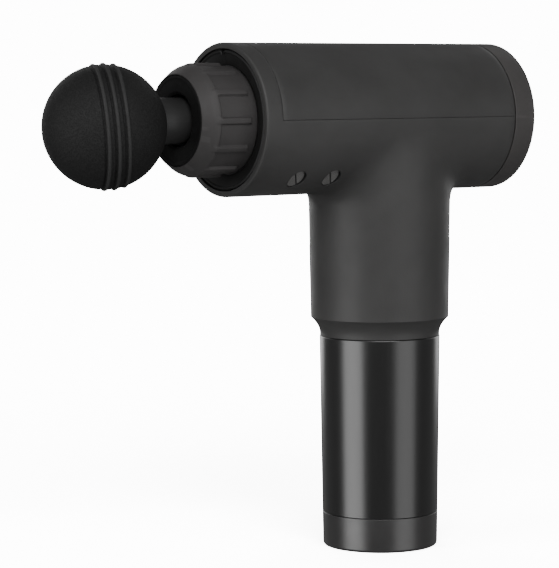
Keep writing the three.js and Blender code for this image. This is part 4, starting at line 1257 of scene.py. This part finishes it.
def make_camera():
    data = bpy.data.cameras.new("camera")
    data.lens = VIEW_LENS
    data.sensor_width = 36
    data.clip_start, data.clip_end = 0.01, 50
    camera = add_object("camera", data)
    back = direction(VIEW_AZIMUTH, VIEW_ELEVATION)
    camera.location = VIEW_TARGET + back * VIEW_DISTANCE
    facing = (-back).to_track_quat("-Z", "Y").to_matrix().to_4x4()
    camera.rotation_euler = (facing @ Matrix.Rotation(VIEW_ROLL, 4, "Z")).to_euler()
    bpy.context.scene.camera = camera


def floor_paint():
    """Pale paint, slightly uneven, that can be seen through from below."""
    made = Nodes("floor_paint")
    tone = made.ranged(made.noise(2.0, detail=2), 0.0, 1.0, 0.3, 0.7)
    paint = made.mixed(tone, (0.78, 0.78, 0.78), (0.82, 0.82, 0.82))
    made.finished(paint, Roughness=0.9, Specular_IOR_Level=0.1)
    sides = made.node("ShaderNodeMixShader")
    made.link(made.node("ShaderNodeNewGeometry").outputs["Backfacing"], sides.inputs["Fac"])
    made.link(made.shader.outputs["BSDF"], sides.inputs[1])
    made.link(made.node("ShaderNodeBsdfTransparent").outputs["BSDF"], sides.inputs[2])
    made.link(sides.outputs["Shader"], made.tree.nodes["Material Output"].inputs["Surface"])
    return made.material


def make_floor():
    """A pale floor that shows only the object's soft shadow."""
    size, height = 1.5, -0.2 * MM
    signs = ((-1, -1), (1, -1), (1, 1), (-1, 1))
    corners = [(x * size, y * size, height) for x, y in signs]
    floor = new_object("floor", corners, [(0, 1, 2, 3)])
    if floor.data.polygons[0].normal.z < 0:
        floor.data.flip_normals()
    floor.data.materials.append(floor_paint())
    floor.is_shadow_catcher = True
    floor.visible_glossy = False
    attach(floor, "battery")  # the handle stands on it, also when the gun is lifted off


def softbox(name, azimuth, elevation, distance, width, height, radiance):
    """A rectangular light aimed at the object."""
    data = bpy.data.lights.new(name, "AREA")
    data.shape = "RECTANGLE"
    data.size, data.size_y = width, height
    data.energy = radiance * pi * width * height
    light = add_object(name, data)
    towards = direction(VIEW_AZIMUTH + radians(azimuth), radians(elevation))
    light.location = LIGHT_TARGET + towards * distance
    light.rotation_euler = (-towards).to_track_quat("-Z", "Y").to_euler()
    light.visible_camera = False


def make_world():
    """A white backdrop for the camera, and a dim grey room for everything else."""
    world = bpy.data.worlds.new("studio")
    world.use_nodes = True
    tree = world.node_tree
    backdrop, room = tree.nodes["Background"], tree.nodes.new("ShaderNodeBackground")
    for background, strength in ((backdrop, BACKDROP_STRENGTH), (room, ROOM_STRENGTH)):
        background.inputs["Color"].default_value = (1, 1, 1, 1)
        background.inputs["Strength"].default_value = strength
    seen = tree.nodes.new("ShaderNodeLightPath")
    mix = tree.nodes.new("ShaderNodeMixShader")
    tree.links.new(seen.outputs["Is Camera Ray"], mix.inputs["Fac"])
    tree.links.new(room.outputs["Background"], mix.inputs[1])
    tree.links.new(backdrop.outputs["Background"], mix.inputs[2])
    tree.links.new(mix.outputs["Shader"], tree.nodes["World Output"].inputs["Surface"])
    bpy.context.scene.world = world


make_camera()
dress_frame()
make_housing()
make_vent_screens()
make_cover()
make_rear()
make_bezel()
make_collar()
make_nose_ring()
make_ball()
make_stem()
make_tube()
make_foot()
make_plug()
for i in (1, 2):
    make_contact(f"battery_contact_{i}", f"contact_stud_{i}")
make_switch_frame()
make_rocker()
make_jack()
for i in (1, 2):
    make_cross_screw(f"cap_screw_{i}", f"foot_screw_{i}")
make_floor()
for name, values in SOFTBOXES.items():
    softbox(name, *values)
make_world()

bpy.context.view_layer.update()
